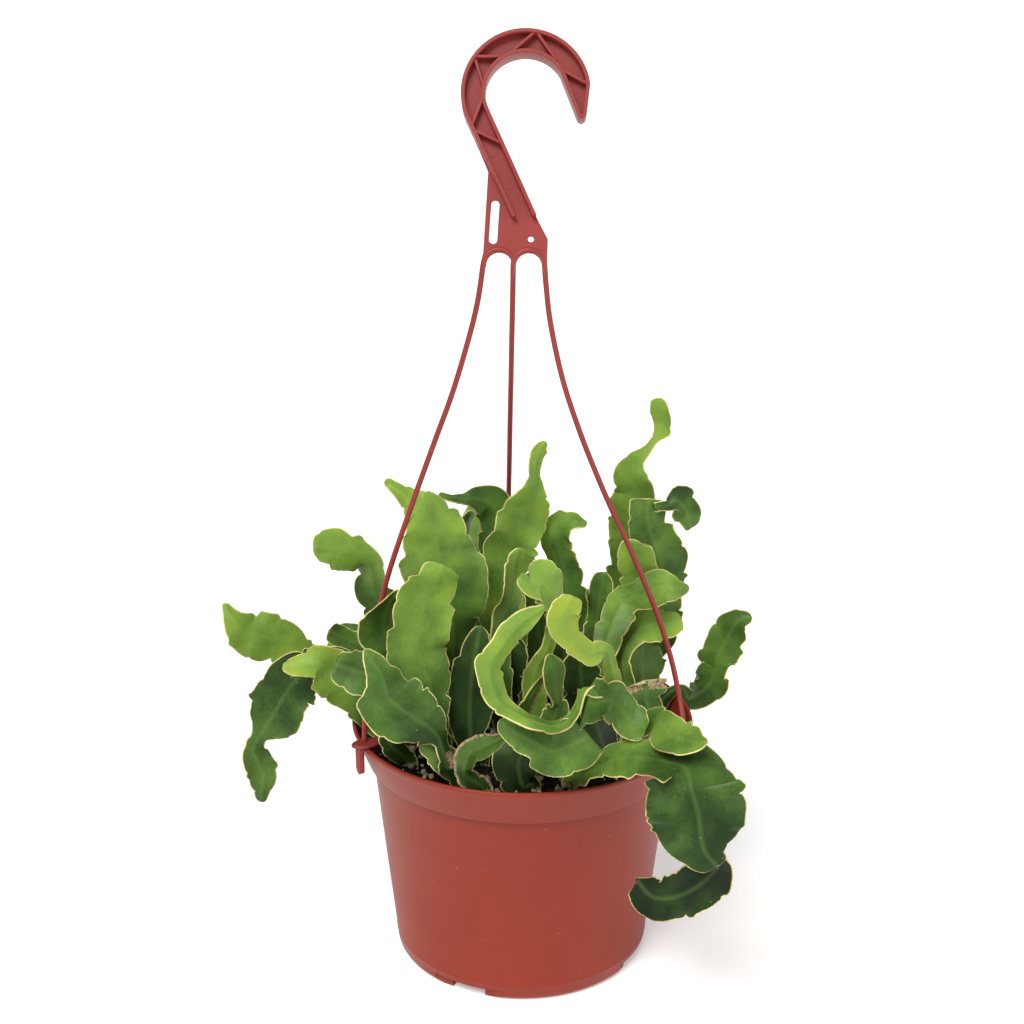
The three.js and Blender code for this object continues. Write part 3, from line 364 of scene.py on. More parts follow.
def tube(route: Sequence[Place], radius: float, count: int, root: float = 0.01, sides: int = 14) -> Form:
    """A round rod with rounded ends along a smooth route.

    Args:
        route: The points that the rod's middle passes through.
        radius: The rod's radius.
        count: The number of rings along it, without those of its ends.
        root: The length at its start over which it grows to its radius.
        sides: The number of vertices in each ring.

    Returns:
        The closed rod.
    """
    points = np.array(route, dtype=float)
    _, length = places_along(points, np.zeros(1))
    cap_turn = np.linspace(CAP_START, math.pi / 2, CAP_RINGS)
    cap = (1 - np.cos(cap_turn)) * radius / length
    shares = np.concatenate([cap, np.linspace(cap[-1], 1 - cap[-1], count)[1:-1], 1 - cap[::-1]])
    width = np.ones(len(shares))
    width[:CAP_RINGS] = np.sin(cap_turn)
    width[-CAP_RINGS:] = np.sin(cap_turn)[::-1]
    width *= ROOT_SHARE + (1 - ROOT_SHARE) * smooth_step(0.0, root, shares * length)
    where, _ = places_along(points, shares)
    middle, slope = spline(points, where)
    slope /= np.linalg.norm(slope, axis=1)[:, None]
    aside = np.cross(slope, np.array(ROD_GUIDE))
    aside /= np.linalg.norm(aside, axis=1)[:, None]
    across = np.cross(slope, aside)
    turn = np.linspace(0, 2 * math.pi, sides, endpoint=False)
    rings = middle[:, None] + radius * width[:, None, None] * (
        np.cos(turn)[None, :, None] * aside[:, None] + np.sin(turn)[None, :, None] * across[:, None]
    )
    rows = len(shares)
    faces = ring_faces(rows, sides)
    faces.append(tuple(reversed(range(sides))))
    faces.append(tuple(range((rows - 1) * sides, rows * sides)))
    form = Form()
    form.add(rings.reshape(-1, 3), faces)
    return form


class Finish:
    """A finish that makes its material once and then hands out the same one."""

    name: str
    made: dict[str, bpy.types.Material] = {}

    def material(self) -> bpy.types.Material:
        """The finish's material.

        Returns:
            The material, the same one at every call.
        """
        if self.name not in Finish.made:
            material = bpy.data.materials.new(self.name)
            material.use_nodes = True
            tree = material.node_tree
            tree.nodes.clear()
            add_node(tree, "ShaderNodeOutputMaterial", None, {"Surface": self.build(tree)})
            Finish.made[self.name] = material
        return Finish.made[self.name]

    def build(self, tree: NodeTree) -> Socket:
        """Fill the material's node tree and return its surface."""
        raise NotImplementedError


@dataclass(frozen=True)
class MouldedPolypropylene(Finish):
    """Injection-moulded polypropylene: an even colour with a soft satin sheen and a very fine skin.

    The mould leaves faint flow clouds in the colour, and handling leaves pale specks of dust.
    """

    name: str = "moulded_polypropylene_terracotta"
    colour: str = "#8b2e1a"
    cloud: str = "#7e2917"
    dust: str = "#b87565"
    ior: float = 1.49
    specular: float = 0.3
    roughness: float = 0.42
    roughness_swing: Point = (-0.05, 0.08)
    cloud_mm: float = 42.0
    speck_mm: float = 5.5
    speck_fade: Point = (0.035, 0.065)
    speck_cover: float = 0.75
    speck_rarity: float = 0.72
    skin_mm: float = 0.9
    skin_strength: float = 0.12
    skin_deep_mm: float = 0.04

    def build(self, tree: NodeTree) -> Socket:
        """Fill the node tree with the plastic.

        Args:
            tree: The material's node tree.

        Returns:
            The surface.
        """
        place = add_node(tree, "ShaderNodeTexCoord").outputs["Object"]
        cloud = add_node(
            tree, "ShaderNodeTexNoise", {"Scale": 1 / (self.cloud_mm * MM), "Detail": 3.0}, {"Vector": place}
        )
        speck = add_node(
            tree, "ShaderNodeTexVoronoi", {"Scale": 1 / (self.speck_mm * MM)}, {"Vector": place}
        )
        core, rim = self.speck_fade
        speck_spread = add_node(
            tree, "ShaderNodeMapRange",
            {"From Min": core, "From Max": rim, "To Min": self.speck_cover, "To Max": 0.0},
            {"Value": speck.outputs["Distance"]},
        )
        speck_chance = add_node(tree, "ShaderNodeSeparateColor", None, {"Color": speck.outputs["Color"]})
        rare = add_node(
            tree, "ShaderNodeMath", {"operation": "GREATER_THAN", 1: self.speck_rarity},
            {0: speck_chance.outputs[0]},
        )
        dusty = add_node(
            tree, "ShaderNodeMath", {"operation": "MULTIPLY"},
            {0: speck_spread.outputs["Result"], 1: rare.outputs["Value"]},
        )
        clouded = add_node(
            tree, "ShaderNodeMix",
            {"data_type": "RGBA", MIX_FIRST: linear(self.colour), MIX_SECOND: linear(self.cloud)},
            {MIX_FACTOR: cloud.outputs["Fac"]},
        )
        dusted = add_node(
            tree, "ShaderNodeMix", {"data_type": "RGBA", MIX_SECOND: linear(self.dust)},
            {MIX_FACTOR: dusty.outputs["Value"], MIX_FIRST: clouded.outputs[MIX_RESULT]},
        )
        smoother, duller = self.roughness_swing
        gloss = add_node(
            tree, "ShaderNodeMapRange",
            {"To Min": self.roughness + smoother, "To Max": self.roughness + duller},
            {"Value": cloud.outputs["Fac"]},
        )
        skin = add_node(
            tree, "ShaderNodeTexNoise", {"Scale": 1 / (self.skin_mm * MM), "Detail": 2.0}, {"Vector": place}
        )
        bump = add_node(
            tree, "ShaderNodeBump", {"Strength": self.skin_strength, "Distance": self.skin_deep_mm * MM},
            {"Height": skin.outputs["Fac"]},
        )
        return add_node(
            tree, "ShaderNodeBsdfPrincipled", {"IOR": self.ior, "Specular IOR Level": self.specular},
            {
                "Base Color": dusted.outputs[MIX_RESULT],
                "Roughness": gloss.outputs["Result"],
                "Normal": bump.outputs["Normal"],
            },
        ).outputs["BSDF"]


@dataclass(frozen=True)
class DampPeat(Finish):
    """Loose damp peat: nearly black fibres and crumbs without any gloss, a little browner where dry."""

    name: str = "damp_peat"
    wet: str = "#0b0908"
    dry: str = "#241b14"
    patch_mm: float = 4.0
    dry_patches: Point = (0.42, 0.78)
    fibre_mm: float = 0.7
    fibre_strength: float = 0.8
    fibre_deep_mm: float = 0.3
    roughness: float = 0.92
    specular: float = 0.12

    def build(self, tree: NodeTree) -> Socket:
        """Fill the node tree with the peat.

        Args:
            tree: The material's node tree.

        Returns:
            The surface.
        """
        place = add_node(tree, "ShaderNodeTexCoord").outputs["Object"]
        patch = add_node(
            tree, "ShaderNodeTexNoise",
            {"Scale": 1 / (self.patch_mm * MM), "Detail": 6.0, "Roughness": 0.7}, {"Vector": place},
        )
        damp, dry = self.dry_patches
        share = add_node(
            tree, "ShaderNodeMapRange", {"From Min": damp, "From Max": dry}, {"Value": patch.outputs["Fac"]}
        )
        colour = add_node(
            tree, "ShaderNodeMix",
            {"data_type": "RGBA", MIX_FIRST: linear(self.wet), MIX_SECOND: linear(self.dry)},
            {MIX_FACTOR: share.outputs["Result"]},
        )
        fibre = add_node(
            tree, "ShaderNodeTexNoise", {"Scale": 1 / (self.fibre_mm * MM), "Detail": 4.0}, {"Vector": place}
        )
        bump = add_node(
            tree, "ShaderNodeBump", {"Strength": self.fibre_strength, "Distance": self.fibre_deep_mm * MM},
            {"Height": fibre.outputs["Fac"]},
        )
        return add_node(
            tree, "ShaderNodeBsdfPrincipled",
            {"Roughness": self.roughness, "Specular IOR Level": self.specular},
            {"Base Color": colour.outputs[MIX_RESULT], "Normal": bump.outputs["Normal"]},
        ).outputs["BSDF"]


@dataclass(frozen=True)
class CrushedGrit(Finish):
    """Crushed pumice and bark grit: matt grains from tan to olive grey, each one its own shade."""

    name: str = "crushed_grit"
    pale: str = "#b6ab86"
    olive: str = "#827e5c"
    brown: str = "#5a4533"
    roughness: float = 0.85

    def build(self, tree: NodeTree) -> Socket:
        """Fill the node tree with the grit.

        Args:
            tree: The material's node tree.

        Returns:
            The surface.
        """
        shade = add_node(tree, "ShaderNodeAttribute", {"attribute_name": "shade"})
        ramp = add_node(tree, "ShaderNodeValToRGB", None, {"Fac": shade.outputs["Fac"]})
        ramp.color_ramp.elements[0].color = linear(self.brown)
        ramp.color_ramp.elements[1].color = linear(self.pale)
        ramp.color_ramp.elements.new(0.5).color = linear(self.olive)
        return add_node(
            tree, "ShaderNodeBsdfPrincipled", {"Roughness": self.roughness},
            {"Base Color": ramp.outputs["Color"]},
        ).outputs["BSDF"]


@dataclass(frozen=True)
class WaxySkin(Finish):
    """Living cactus skin: smooth green tissue under a thin wax bloom, so its highlights are soft and broad.

    The colour runs from deep to lime green by the vertex value "tone". A dry tan line follows the margin,
    a paler line the midrib, and corky scars lie where the vertex value "cork" is high.
    """

    name: str = "waxy_cactus_skin"
    deep: str = "#15220e"
    dark: str = "#2b4319"
    leaf: str = "#4f6f2b"
    light: str = "#7c9c3d"
    lime: str = "#9db03c"
    midrib: str = "#86aa52"
    margin: str = "#e0d48c"
    margin_old: str = "#a38a52"
    cork: str = "#a8946f"
    cork_dark: str = "#5f4a35"
    speck: str = "#b3c49a"
    margin_mm: float = 0.2
    margin_fade: Point = (-0.15, 0.2)
    margin_ragged: float = 0.7
    margin_ageing: Point = (0.38, 0.55)
    midrib_mm: float = 1.5
    midrib_share: float = 0.14
    patch_mm: float = 14.0
    patch_swing: float = 0.14
    mottle_mm: float = 1.1
    mottle_swing: float = 0.035
    speck_mm: float = 5.5
    speck_fade: Point = (0.03, 0.06)
    speck_share: float = 0.5
    cork_grain: Point = (0.35, 0.55)
    cork_edge: Point = (0.95, 1.08)
    roughness: float = 0.43
    dry_roughness: float = 0.8
    relief_strength: float = 0.35
    relief_deep_mm: float = 0.4
    ior: float = 1.42
    specular: float = 0.2
    flesh_share: float = 0.12
    flesh_spread: Place = (0.9, 1.0, 0.3)
    flesh_deep_mm: float = 1.2
    wax_share: float = 0.05
    wax_roughness: float = 0.3

    def green(self, tree: NodeTree, patch: Socket, mottle: Socket) -> Socket:
        """The living green, from deep to lime by the stem's tone.

        Args:
            tree: The material's node tree.
            patch: The noise of the broad patches.
            mottle: The noise of the fine mottle.

        Returns:
            The colour.
        """
        shade = add_node(tree, "ShaderNodeAttribute", {"attribute_name": "tone"}).outputs["Fac"]
        for noise, swing in ((patch, self.patch_swing), (mottle, self.mottle_swing)):
            shift = add_node(
                tree, "ShaderNodeMapRange",
                {"From Min": 0.3, "From Max": 0.7, "To Min": -swing, "To Max": swing}, {"Value": noise},
            )
            shade = add_node(
                tree, "ShaderNodeMath", {"operation": "ADD"}, {0: shade, 1: shift.outputs["Result"]}
            ).outputs["Value"]
        ramp = add_node(tree, "ShaderNodeValToRGB", None, {"Fac": shade})
        ramp.color_ramp.elements[0].color = linear(self.deep)
        ramp.color_ramp.elements[1].color = linear(self.lime)
        for where, colour in ((0.25, self.dark), (0.5, self.leaf), (0.78, self.light)):
            ramp.color_ramp.elements.new(where).color = linear(colour)
        return ramp.outputs["Color"]

    def pale_masks(self, tree: NodeTree, place: Socket) -> tuple[Socket, Socket]:
        """Where the paler midrib and the small pale specks show.

        Args:
            tree: The material's node tree.
            place: The place on the object.

        Returns:
            The midrib's mask and the specks' mask.
        """
        rib = add_node(tree, "ShaderNodeAttribute", {"attribute_name": "rib"}).outputs["Fac"]
        rib_mask = add_node(
            tree, "ShaderNodeMapRange",
            {"From Max": self.midrib_mm, "To Min": self.midrib_share, "To Max": 0.0}, {"Value": rib},
        )
        dots = add_node(
            tree, "ShaderNodeTexVoronoi", {"Scale": 1 / (self.speck_mm * MM)}, {"Vector": place}
        )
        core, rim = self.speck_fade
        dot_mask = add_node(
            tree, "ShaderNodeMapRange",
            {"From Min": core, "From Max": rim, "To Min": self.speck_share, "To Max": 0.0},
            {"Value": dots.outputs["Distance"]},
        )
        return rib_mask.outputs["Result"], dot_mask.outputs["Result"]

    def dry_masks(self, tree: NodeTree, mottle: Socket) -> tuple[Socket, Socket]:
        """Where the dry margin and the corky scars lie, both with ragged edges.

        Args:
            tree: The material's node tree.
            mottle: The noise of the fine mottle.

        Returns:
            The margin's mask and the scars' mask.
        """
        rim, cork = (
            add_node(tree, "ShaderNodeAttribute", {"attribute_name": name}).outputs["Fac"]
            for name in ("rim", "cork")
        )
        ragged = add_node(
            tree, "ShaderNodeMath",
            {"operation": "MULTIPLY_ADD", 1: self.margin_ragged, 2: -self.margin_ragged / 2}, {0: mottle},
        )
        rim_place = add_node(
            tree, "ShaderNodeMath", {"operation": "ADD"}, {0: rim, 1: ragged.outputs["Value"]}
        )
        inner, outer = (self.margin_mm + fade for fade in self.margin_fade)
        rim_mask = add_node(
            tree, "ShaderNodeMapRange",
            {"From Min": inner, "From Max": outer, "To Min": 1.0, "To Max": 0.0},
            {"Value": rim_place.outputs["Value"]},
        )
        cork_place = add_node(tree, "ShaderNodeMath", {"operation": "ADD"}, {0: cork, 1: mottle})
        inner, outer = self.cork_edge
        cork_mask = add_node(
            tree, "ShaderNodeMapRange", {"From Min": inner, "From Max": outer},
            {"Value": cork_place.outputs["Value"]},
        )
        return rim_mask.outputs["Result"], cork_mask.outputs["Result"]

    def dry_colours(self, tree: NodeTree, patch: Socket, mottle: Socket) -> list[Socket]:
        """The colours of the dry margin, old to fresh by patches, and of the grained cork.

        Args:
            tree: The material's node tree.
            patch: The noise of the broad patches.
            mottle: The noise of the fine mottle.

        Returns:
            The margin's colour and the cork's colour.
        """
        colours = []
        for first, second, band, noise in (
            (self.margin_old, self.margin, self.margin_ageing, patch),
            (self.cork_dark, self.cork, self.cork_grain, mottle),
        ):
            low, high = band
            share = add_node(
                tree, "ShaderNodeMapRange", {"From Min": low, "From Max": high}, {"Value": noise}
            )
            mixed = add_node(
                tree, "ShaderNodeMix",
                {"data_type": "RGBA", MIX_FIRST: linear(first), MIX_SECOND: linear(second)},
                {MIX_FACTOR: share.outputs["Result"]},
            )
            colours.append(mixed.outputs[MIX_RESULT])
        return colours

    def build(self, tree: NodeTree) -> Socket:
        """Fill the node tree with the skin.

        Args:
            tree: The material's node tree.

        Returns:
            The surface.
        """
        place = add_node(tree, "ShaderNodeTexCoord").outputs["Object"]
        patch, mottle = (
            add_node(
                tree, "ShaderNodeTexNoise", {"Scale": 1 / (size * MM), "Detail": 4.0}, {"Vector": place}
            ).outputs["Fac"]
            for size in (self.patch_mm, self.mottle_mm)
        )
        colour = self.green(tree, patch, mottle)
        for mask, tint in zip(self.pale_masks(tree, place), (self.midrib, self.speck)):
            colour = add_node(
                tree, "ShaderNodeMix", {"data_type": "RGBA", MIX_SECOND: linear(tint)},
                {MIX_FACTOR: mask, MIX_FIRST: colour},
            ).outputs[MIX_RESULT]
        rim_mask, cork_mask = self.dry_masks(tree, mottle)
        for mask, tint in zip((rim_mask, cork_mask), self.dry_colours(tree, patch, mottle)):
            colour = add_node(
                tree, "ShaderNodeMix", {"data_type": "RGBA"},
                {MIX_FACTOR: mask, MIX_FIRST: colour, MIX_SECOND: tint},
            ).outputs[MIX_RESULT]
        dryness = add_node(
            tree, "ShaderNodeMath", {"operation": "MAXIMUM"}, {0: rim_mask, 1: cork_mask}
        )
        gloss = add_node(
            tree, "ShaderNodeMapRange", {"To Min": self.roughness, "To Max": self.dry_roughness},
            {"Value": dryness.outputs["Value"]},
        )
        relief = add_node(
            tree, "ShaderNodeMath", {"operation": "MULTIPLY_ADD"}, {0: cork_mask, 1: mottle, 2: patch}
        )
        bump = add_node(
            tree, "ShaderNodeBump",
            {"Strength": self.relief_strength, "Distance": self.relief_deep_mm * MM},
            {"Height": relief.outputs["Value"]},
        )
        return add_node(
            tree, "ShaderNodeBsdfPrincipled",
            {
                "IOR": self.ior,
                "Specular IOR Level": self.specular,
                "Subsurface Weight": self.flesh_share,
                "Subsurface Radius": self.flesh_spread,
                "Subsurface Scale": self.flesh_deep_mm * MM,
                "Coat Weight": self.wax_share,
                "Coat Roughness": self.wax_roughness,
            },
            {"Base Color": colour, "Roughness": gloss.outputs["Result"], "Normal": bump.outputs["Normal"]},
        ).outputs["BSDF"]


def rounded(corners: Sequence[Place], steps: int = 5) -> list[Point]:
    """A line whose corners are rounded.

    Args:
        corners: Each corner's two coordinates and its radius.
        steps: The number of steps in each rounding.

    Returns:
        The line's points.
    """
    points: list[Point] = []
    for i, (x, y, radius) in enumerate(corners):
        if radius <= 0:
            points.append((x, y))
            continue
        corner = Vector((x, y))
        back = Vector(corners[i - 1][:2]) - corner
        ahead = Vector(corners[i + 1][:2]) - corner
        half = back.angle(ahead) / 2
        reach = min(radius / math.tan(half), CORNER_SHARE * back.length, CORNER_SHARE * ahead.length)
        middle = corner + (back.normalized() + ahead.normalized()).normalized() * (reach / math.cos(half))
        first = corner + back.normalized() * reach - middle
        last = corner + ahead.normalized() * reach - middle
        start = math.atan2(first.y, first.x)
        sweep = (math.atan2(last.y, last.x) - start + math.pi) % (2 * math.pi) - math.pi
        turn = (math.degrees(start), math.degrees(start + sweep), steps)
        points.extend(arc((middle.x, middle.y), first.length, turn))
    return points


def lathe(profile: Sequence[Point], sides: int) -> Form:
    """A solid of revolution about the Z axis.

    Args:
        profile: Radius and height of each point, from the axis round to the axis again.
        sides: The number of vertices around.

    Returns:
        The closed solid.
    """
    inner = np.array(profile[1:-1])
    turn = np.linspace(0, 2 * math.pi, sides, endpoint=False)
    rings = np.stack(
        [
            inner[:, :1] * np.cos(turn)[None],
            inner[:, :1] * np.sin(turn)[None],
            np.repeat(inner[:, 1:], sides, axis=1),
        ],
        axis=2,
    )
    ends = np.array([[0, 0, profile[0][1]], [0, 0, profile[-1][1]]])
    faces: list[tuple[int, ...]] = list(ring_faces(len(inner), sides))
    first_end = len(inner) * sides
    last_ring = first_end - sides
    for k in range(sides):
        after = (k + 1) % sides
        faces.append((first_end, after, k))
        faces.append((first_end + 1, last_ring + k, last_ring + after))
    form = Form()
    form.add(np.vstack([rings.reshape(-1, 3), ends]), faces)
    return form


def carve(body: Form, cutters: Sequence[Form]) -> Form:
    """Cut closed forms out of a closed form.

    Args:
        body: The form that is cut.
        cutters: The forms that are cut away.

    Returns:
        What is left.
    """
    holders = []
    for form in [body, *cutters]:
        mesh = bpy.data.meshes.new("carving")
        mesh.from_pydata(np.vstack(form.vertices).tolist(), [], form.faces)
        holders.append(show("carving", mesh))
    for cutter in holders[1:]:
        modifier = holders[0].modifiers.new("cut", "BOOLEAN")
        modifier.operation = "DIFFERENCE"
        modifier.solver = "EXACT"
        modifier.object = cutter
    ready = holders[0].evaluated_get(bpy.context.evaluated_depsgraph_get())
    mesh = bpy.data.meshes.new_from_object(ready)
    left = Form()
    left.add(np.array([v.co for v in mesh.vertices]), [p.vertices for p in mesh.polygons])
    for holder in holders:
        data = holder.data
        bpy.data.objects.remove(holder)
        bpy.data.meshes.remove(data)
    bpy.data.meshes.remove(mesh)
    return left


@dataclass(frozen=True)
class HangingPot:
    """The round tapered pot: thin lip, flared band, wall, rounded foot and four drain notches."""

    height: float = 112.7
    lip_radius: float = 77.5
    lip_thickness: float = 1.5
    band_foot_radius: float = 71.0
    band_height: float = 17.5
    wall_top_radius: float = 68.3
    wall_foot_radius: float = 58.5
    wall_thickness: float = 1.5
    lip_height: float = 1.5
    neck_inset: float = 0.8
    neck_drop: float = 3.2
    band_step: float = 0.6
    foot_corner: float = 4.0
    foot_inner_radius: float = 53.8
    foot_inner_height: float = 7.0
    foot_thick_height: float = 10.0
    floor_thickness: float = 2.0
    floor_inset: float = 0.8
    under_recess: float = 0.6
    under_radii: Place = (46.5, 48.0, 58.2)
    under_rounding: float = 4.2
    seam_height: float = 7.5
    seam_half_width: float = 0.4
    seam_swell: float = 0.2
    notch_angles: tuple[float, ...] = (65.0, 155.0, 245.0, 335.0)
    notch_width: float = 33.0
    notch_height: float = 5.0
    notch_floor_radius: float = 55.6
    notch_far: float = 66.0
    notch_overrun: float = 2.0
    notch_rounding: float = 0.8
    notch_edge: float = 0.02
    drain_width: float = 16.0
    drain_reach: float = 7.0
    sides: int = 224

    def wall_radius(self, height: float) -> float:
        """Outside radius of the tapered wall at a height."""
        share = (height - self.foot_corner) / (self.height - self.band_height - self.foot_corner)
        return self.wall_foot_radius + share * (self.wall_top_radius - self.wall_foot_radius)

    def profile(self) -> list[Point]:
        """The shell's section, from under the floor round the lip to the floor's inside.

        Returns:
            The section's points, each as radius and height.
        """
        band_foot = self.height - self.band_height
        inner_lip = self.lip_radius - self.lip_thickness
        neck = self.height - self.neck_drop
        seam, beside = self.seam_height, self.seam_half_width
        recess, ring, edge = self.under_radii
        thick = self.foot_thick_height
        return rounded([
            (0, self.under_recess, 0),
            (recess, self.under_recess, 0.4),
            (ring, 0, 0.4),
            (edge, 0, self.under_rounding),
            (self.wall_radius(seam - beside), seam - beside, 0),
            (self.wall_radius(seam) + self.seam_swell, seam, 0.1),
            (self.wall_radius(seam + beside), seam + beside, 0),
            (self.wall_top_radius, band_foot - self.band_step, 0.6),
            (self.band_foot_radius - self.band_step / 2, band_foot, 0.4),
            (self.band_foot_radius, band_foot + self.band_step, 0.4),
            (self.lip_radius - self.neck_inset, neck, 1.0),
            (self.lip_radius, self.height - self.lip_height, 0.6),
            (self.lip_radius, self.height, 0.6),
            (inner_lip, self.height, 0.6),
            (inner_lip - self.neck_inset, neck, 1.0),
            (self.band_foot_radius - self.wall_thickness, band_foot + self.band_step, 1.0),
            (self.wall_top_radius - self.wall_thickness, band_foot - self.wall_thickness, 1.0),
            (self.wall_radius(thick) - self.wall_thickness, thick, 1.5),
            (self.foot_inner_radius, self.foot_inner_height, 1.0),
            (self.foot_inner_radius - self.floor_inset, self.floor_thickness, 1.0),
            (0, self.floor_thickness, 0),
        ])

    def cutter(self, near: float, far: float, width: float, angle: float) -> Form:
        """A block with rounded edges that cuts one notch from the foot.

        Args:
            near: The block's distance from the axis.
            far: How far out it ends.
            width: Its width around the pot.
            angle: The direction of its middle in degrees.

        Returns:
            The block.
        """
        half, low, high = width / 2, -self.notch_overrun, self.notch_height
        corner = self.notch_rounding
        upright = [(-half, low, 0), (half, low, 0), (half, high, corner), (-half, high, corner)]
        outline = rounded([*upright, upright[0]])[:-1]
        depth = far - near
        stand = Matrix.Rotation(math.radians(angle), 4, "Z") @ Matrix.Translation((near + depth / 2, 0, 0))
        turned = Form()
        turned.add_form(moulded_plate(outline, depth, self.notch_edge), stand @ UPRIGHT)
        return turned

    def make(self) -> bpy.types.Object:
        """Make the pot.

        Returns:
            The pot.
        """
        cutters = []
        for angle in self.notch_angles:
            cutters.append(self.cutter(self.notch_floor_radius, self.notch_far, self.notch_width, angle))
            reach = self.drain_reach
            near, far = self.wall_foot_radius - reach, self.wall_foot_radius + reach
            cutters.append(self.cutter(near, far, self.drain_width, angle))
        form = carve(lathe(self.profile(), self.sides), cutters)
        return form.to_piece("pot_shell", MouldedPolypropylene(), "pot_plastic", ["pot"], crease=35.0)


def crumb_shape() -> tuple[np.ndarray, np.ndarray]:
    """A rough twenty-sided crumb of radius 1.

    Returns:
        Its vertices and its faces.
    """
    gold = (1 + math.sqrt(5)) / 2
    corners = []
    for a, b in ((-1, gold), (1, gold), (-1, -gold), (1, -gold)):
        corners += [(a, b, 0), (0, a, b), (b, 0, a)]
    vertices = np.array(corners, dtype=float)
    vertices /= np.linalg.norm(vertices, axis=1)[:, None]
    faces = []
    side = min(np.linalg.norm(vertices[0] - v) for v in vertices[1:]) * (1 + SAME)
    near = np.linalg.norm(vertices[:, None] - vertices[None], axis=2) < side
    for i, j, k in combinations(range(len(vertices)), 3):
        if near[i, j] and near[j, k] and near[i, k]:
            outward = np.dot(np.cross(vertices[i], vertices[j]), vertices[k]) > 0
            faces.append((i, j, k) if outward else (i, k, j))
    return vertices, np.array(faces)


@dataclass(frozen=True)
class Litter:
    """Loose pieces of one kind on the mix.

    A piece's radius is the least one and a random part of what is beyond it. The higher the power, the
    rarer the large pieces.
    """

    count: int
    least_radius: float
    beyond: float
    power: float
    stretch: Place
    roughness: float
    sunk: float

    def scatter(self, form: Form, draw: np.random.Generator, mix: PottingMix) -> None:
        """Lay the pieces on the mix.

        Args:
            form: The form that the pieces are added to.
            draw: The seeded random draw.
            mix: The mix that they lie on.
        """
        sizes = self.least_radius + self.beyond * draw.uniform(size=self.count) ** self.power
        places = mix.spread(draw, self.count, sizes * self.sunk)
        shape, faces = crumb_shape()
        corners_each = len(shape)
        turns = np.linalg.qr(draw.normal(size=(self.count, 3, 3)))[0]
        turns[np.linalg.det(turns) < 0, :, 0] *= -1
        uneven = 1 + self.roughness * draw.uniform(-1, 1, size=(self.count, corners_each, 1))
        corners = shape[None] * np.array(self.stretch) * uneven
        corners = np.einsum("nij,nkj->nki", turns, corners) * sizes[:, None, None] + places[:, None]
        every = faces[None] + (np.arange(self.count) * corners_each)[:, None, None]
        shade = np.repeat(draw.uniform(size=self.count), corners_each)
        form.add(corners.reshape(-1, 3), every.reshape(-1, 3), shade=shade)


# The swells of the mix's surface: waves per millimetre to the right and to the back, and where each starts
PEAT_WAVES = (
    (0.21, 0.17, 0.4), (-0.33, 0.29, 1.9), (0.61, -0.44, 3.1), (0.93, 1.07, 0.7), (-1.7, 1.3, 2.2)
)


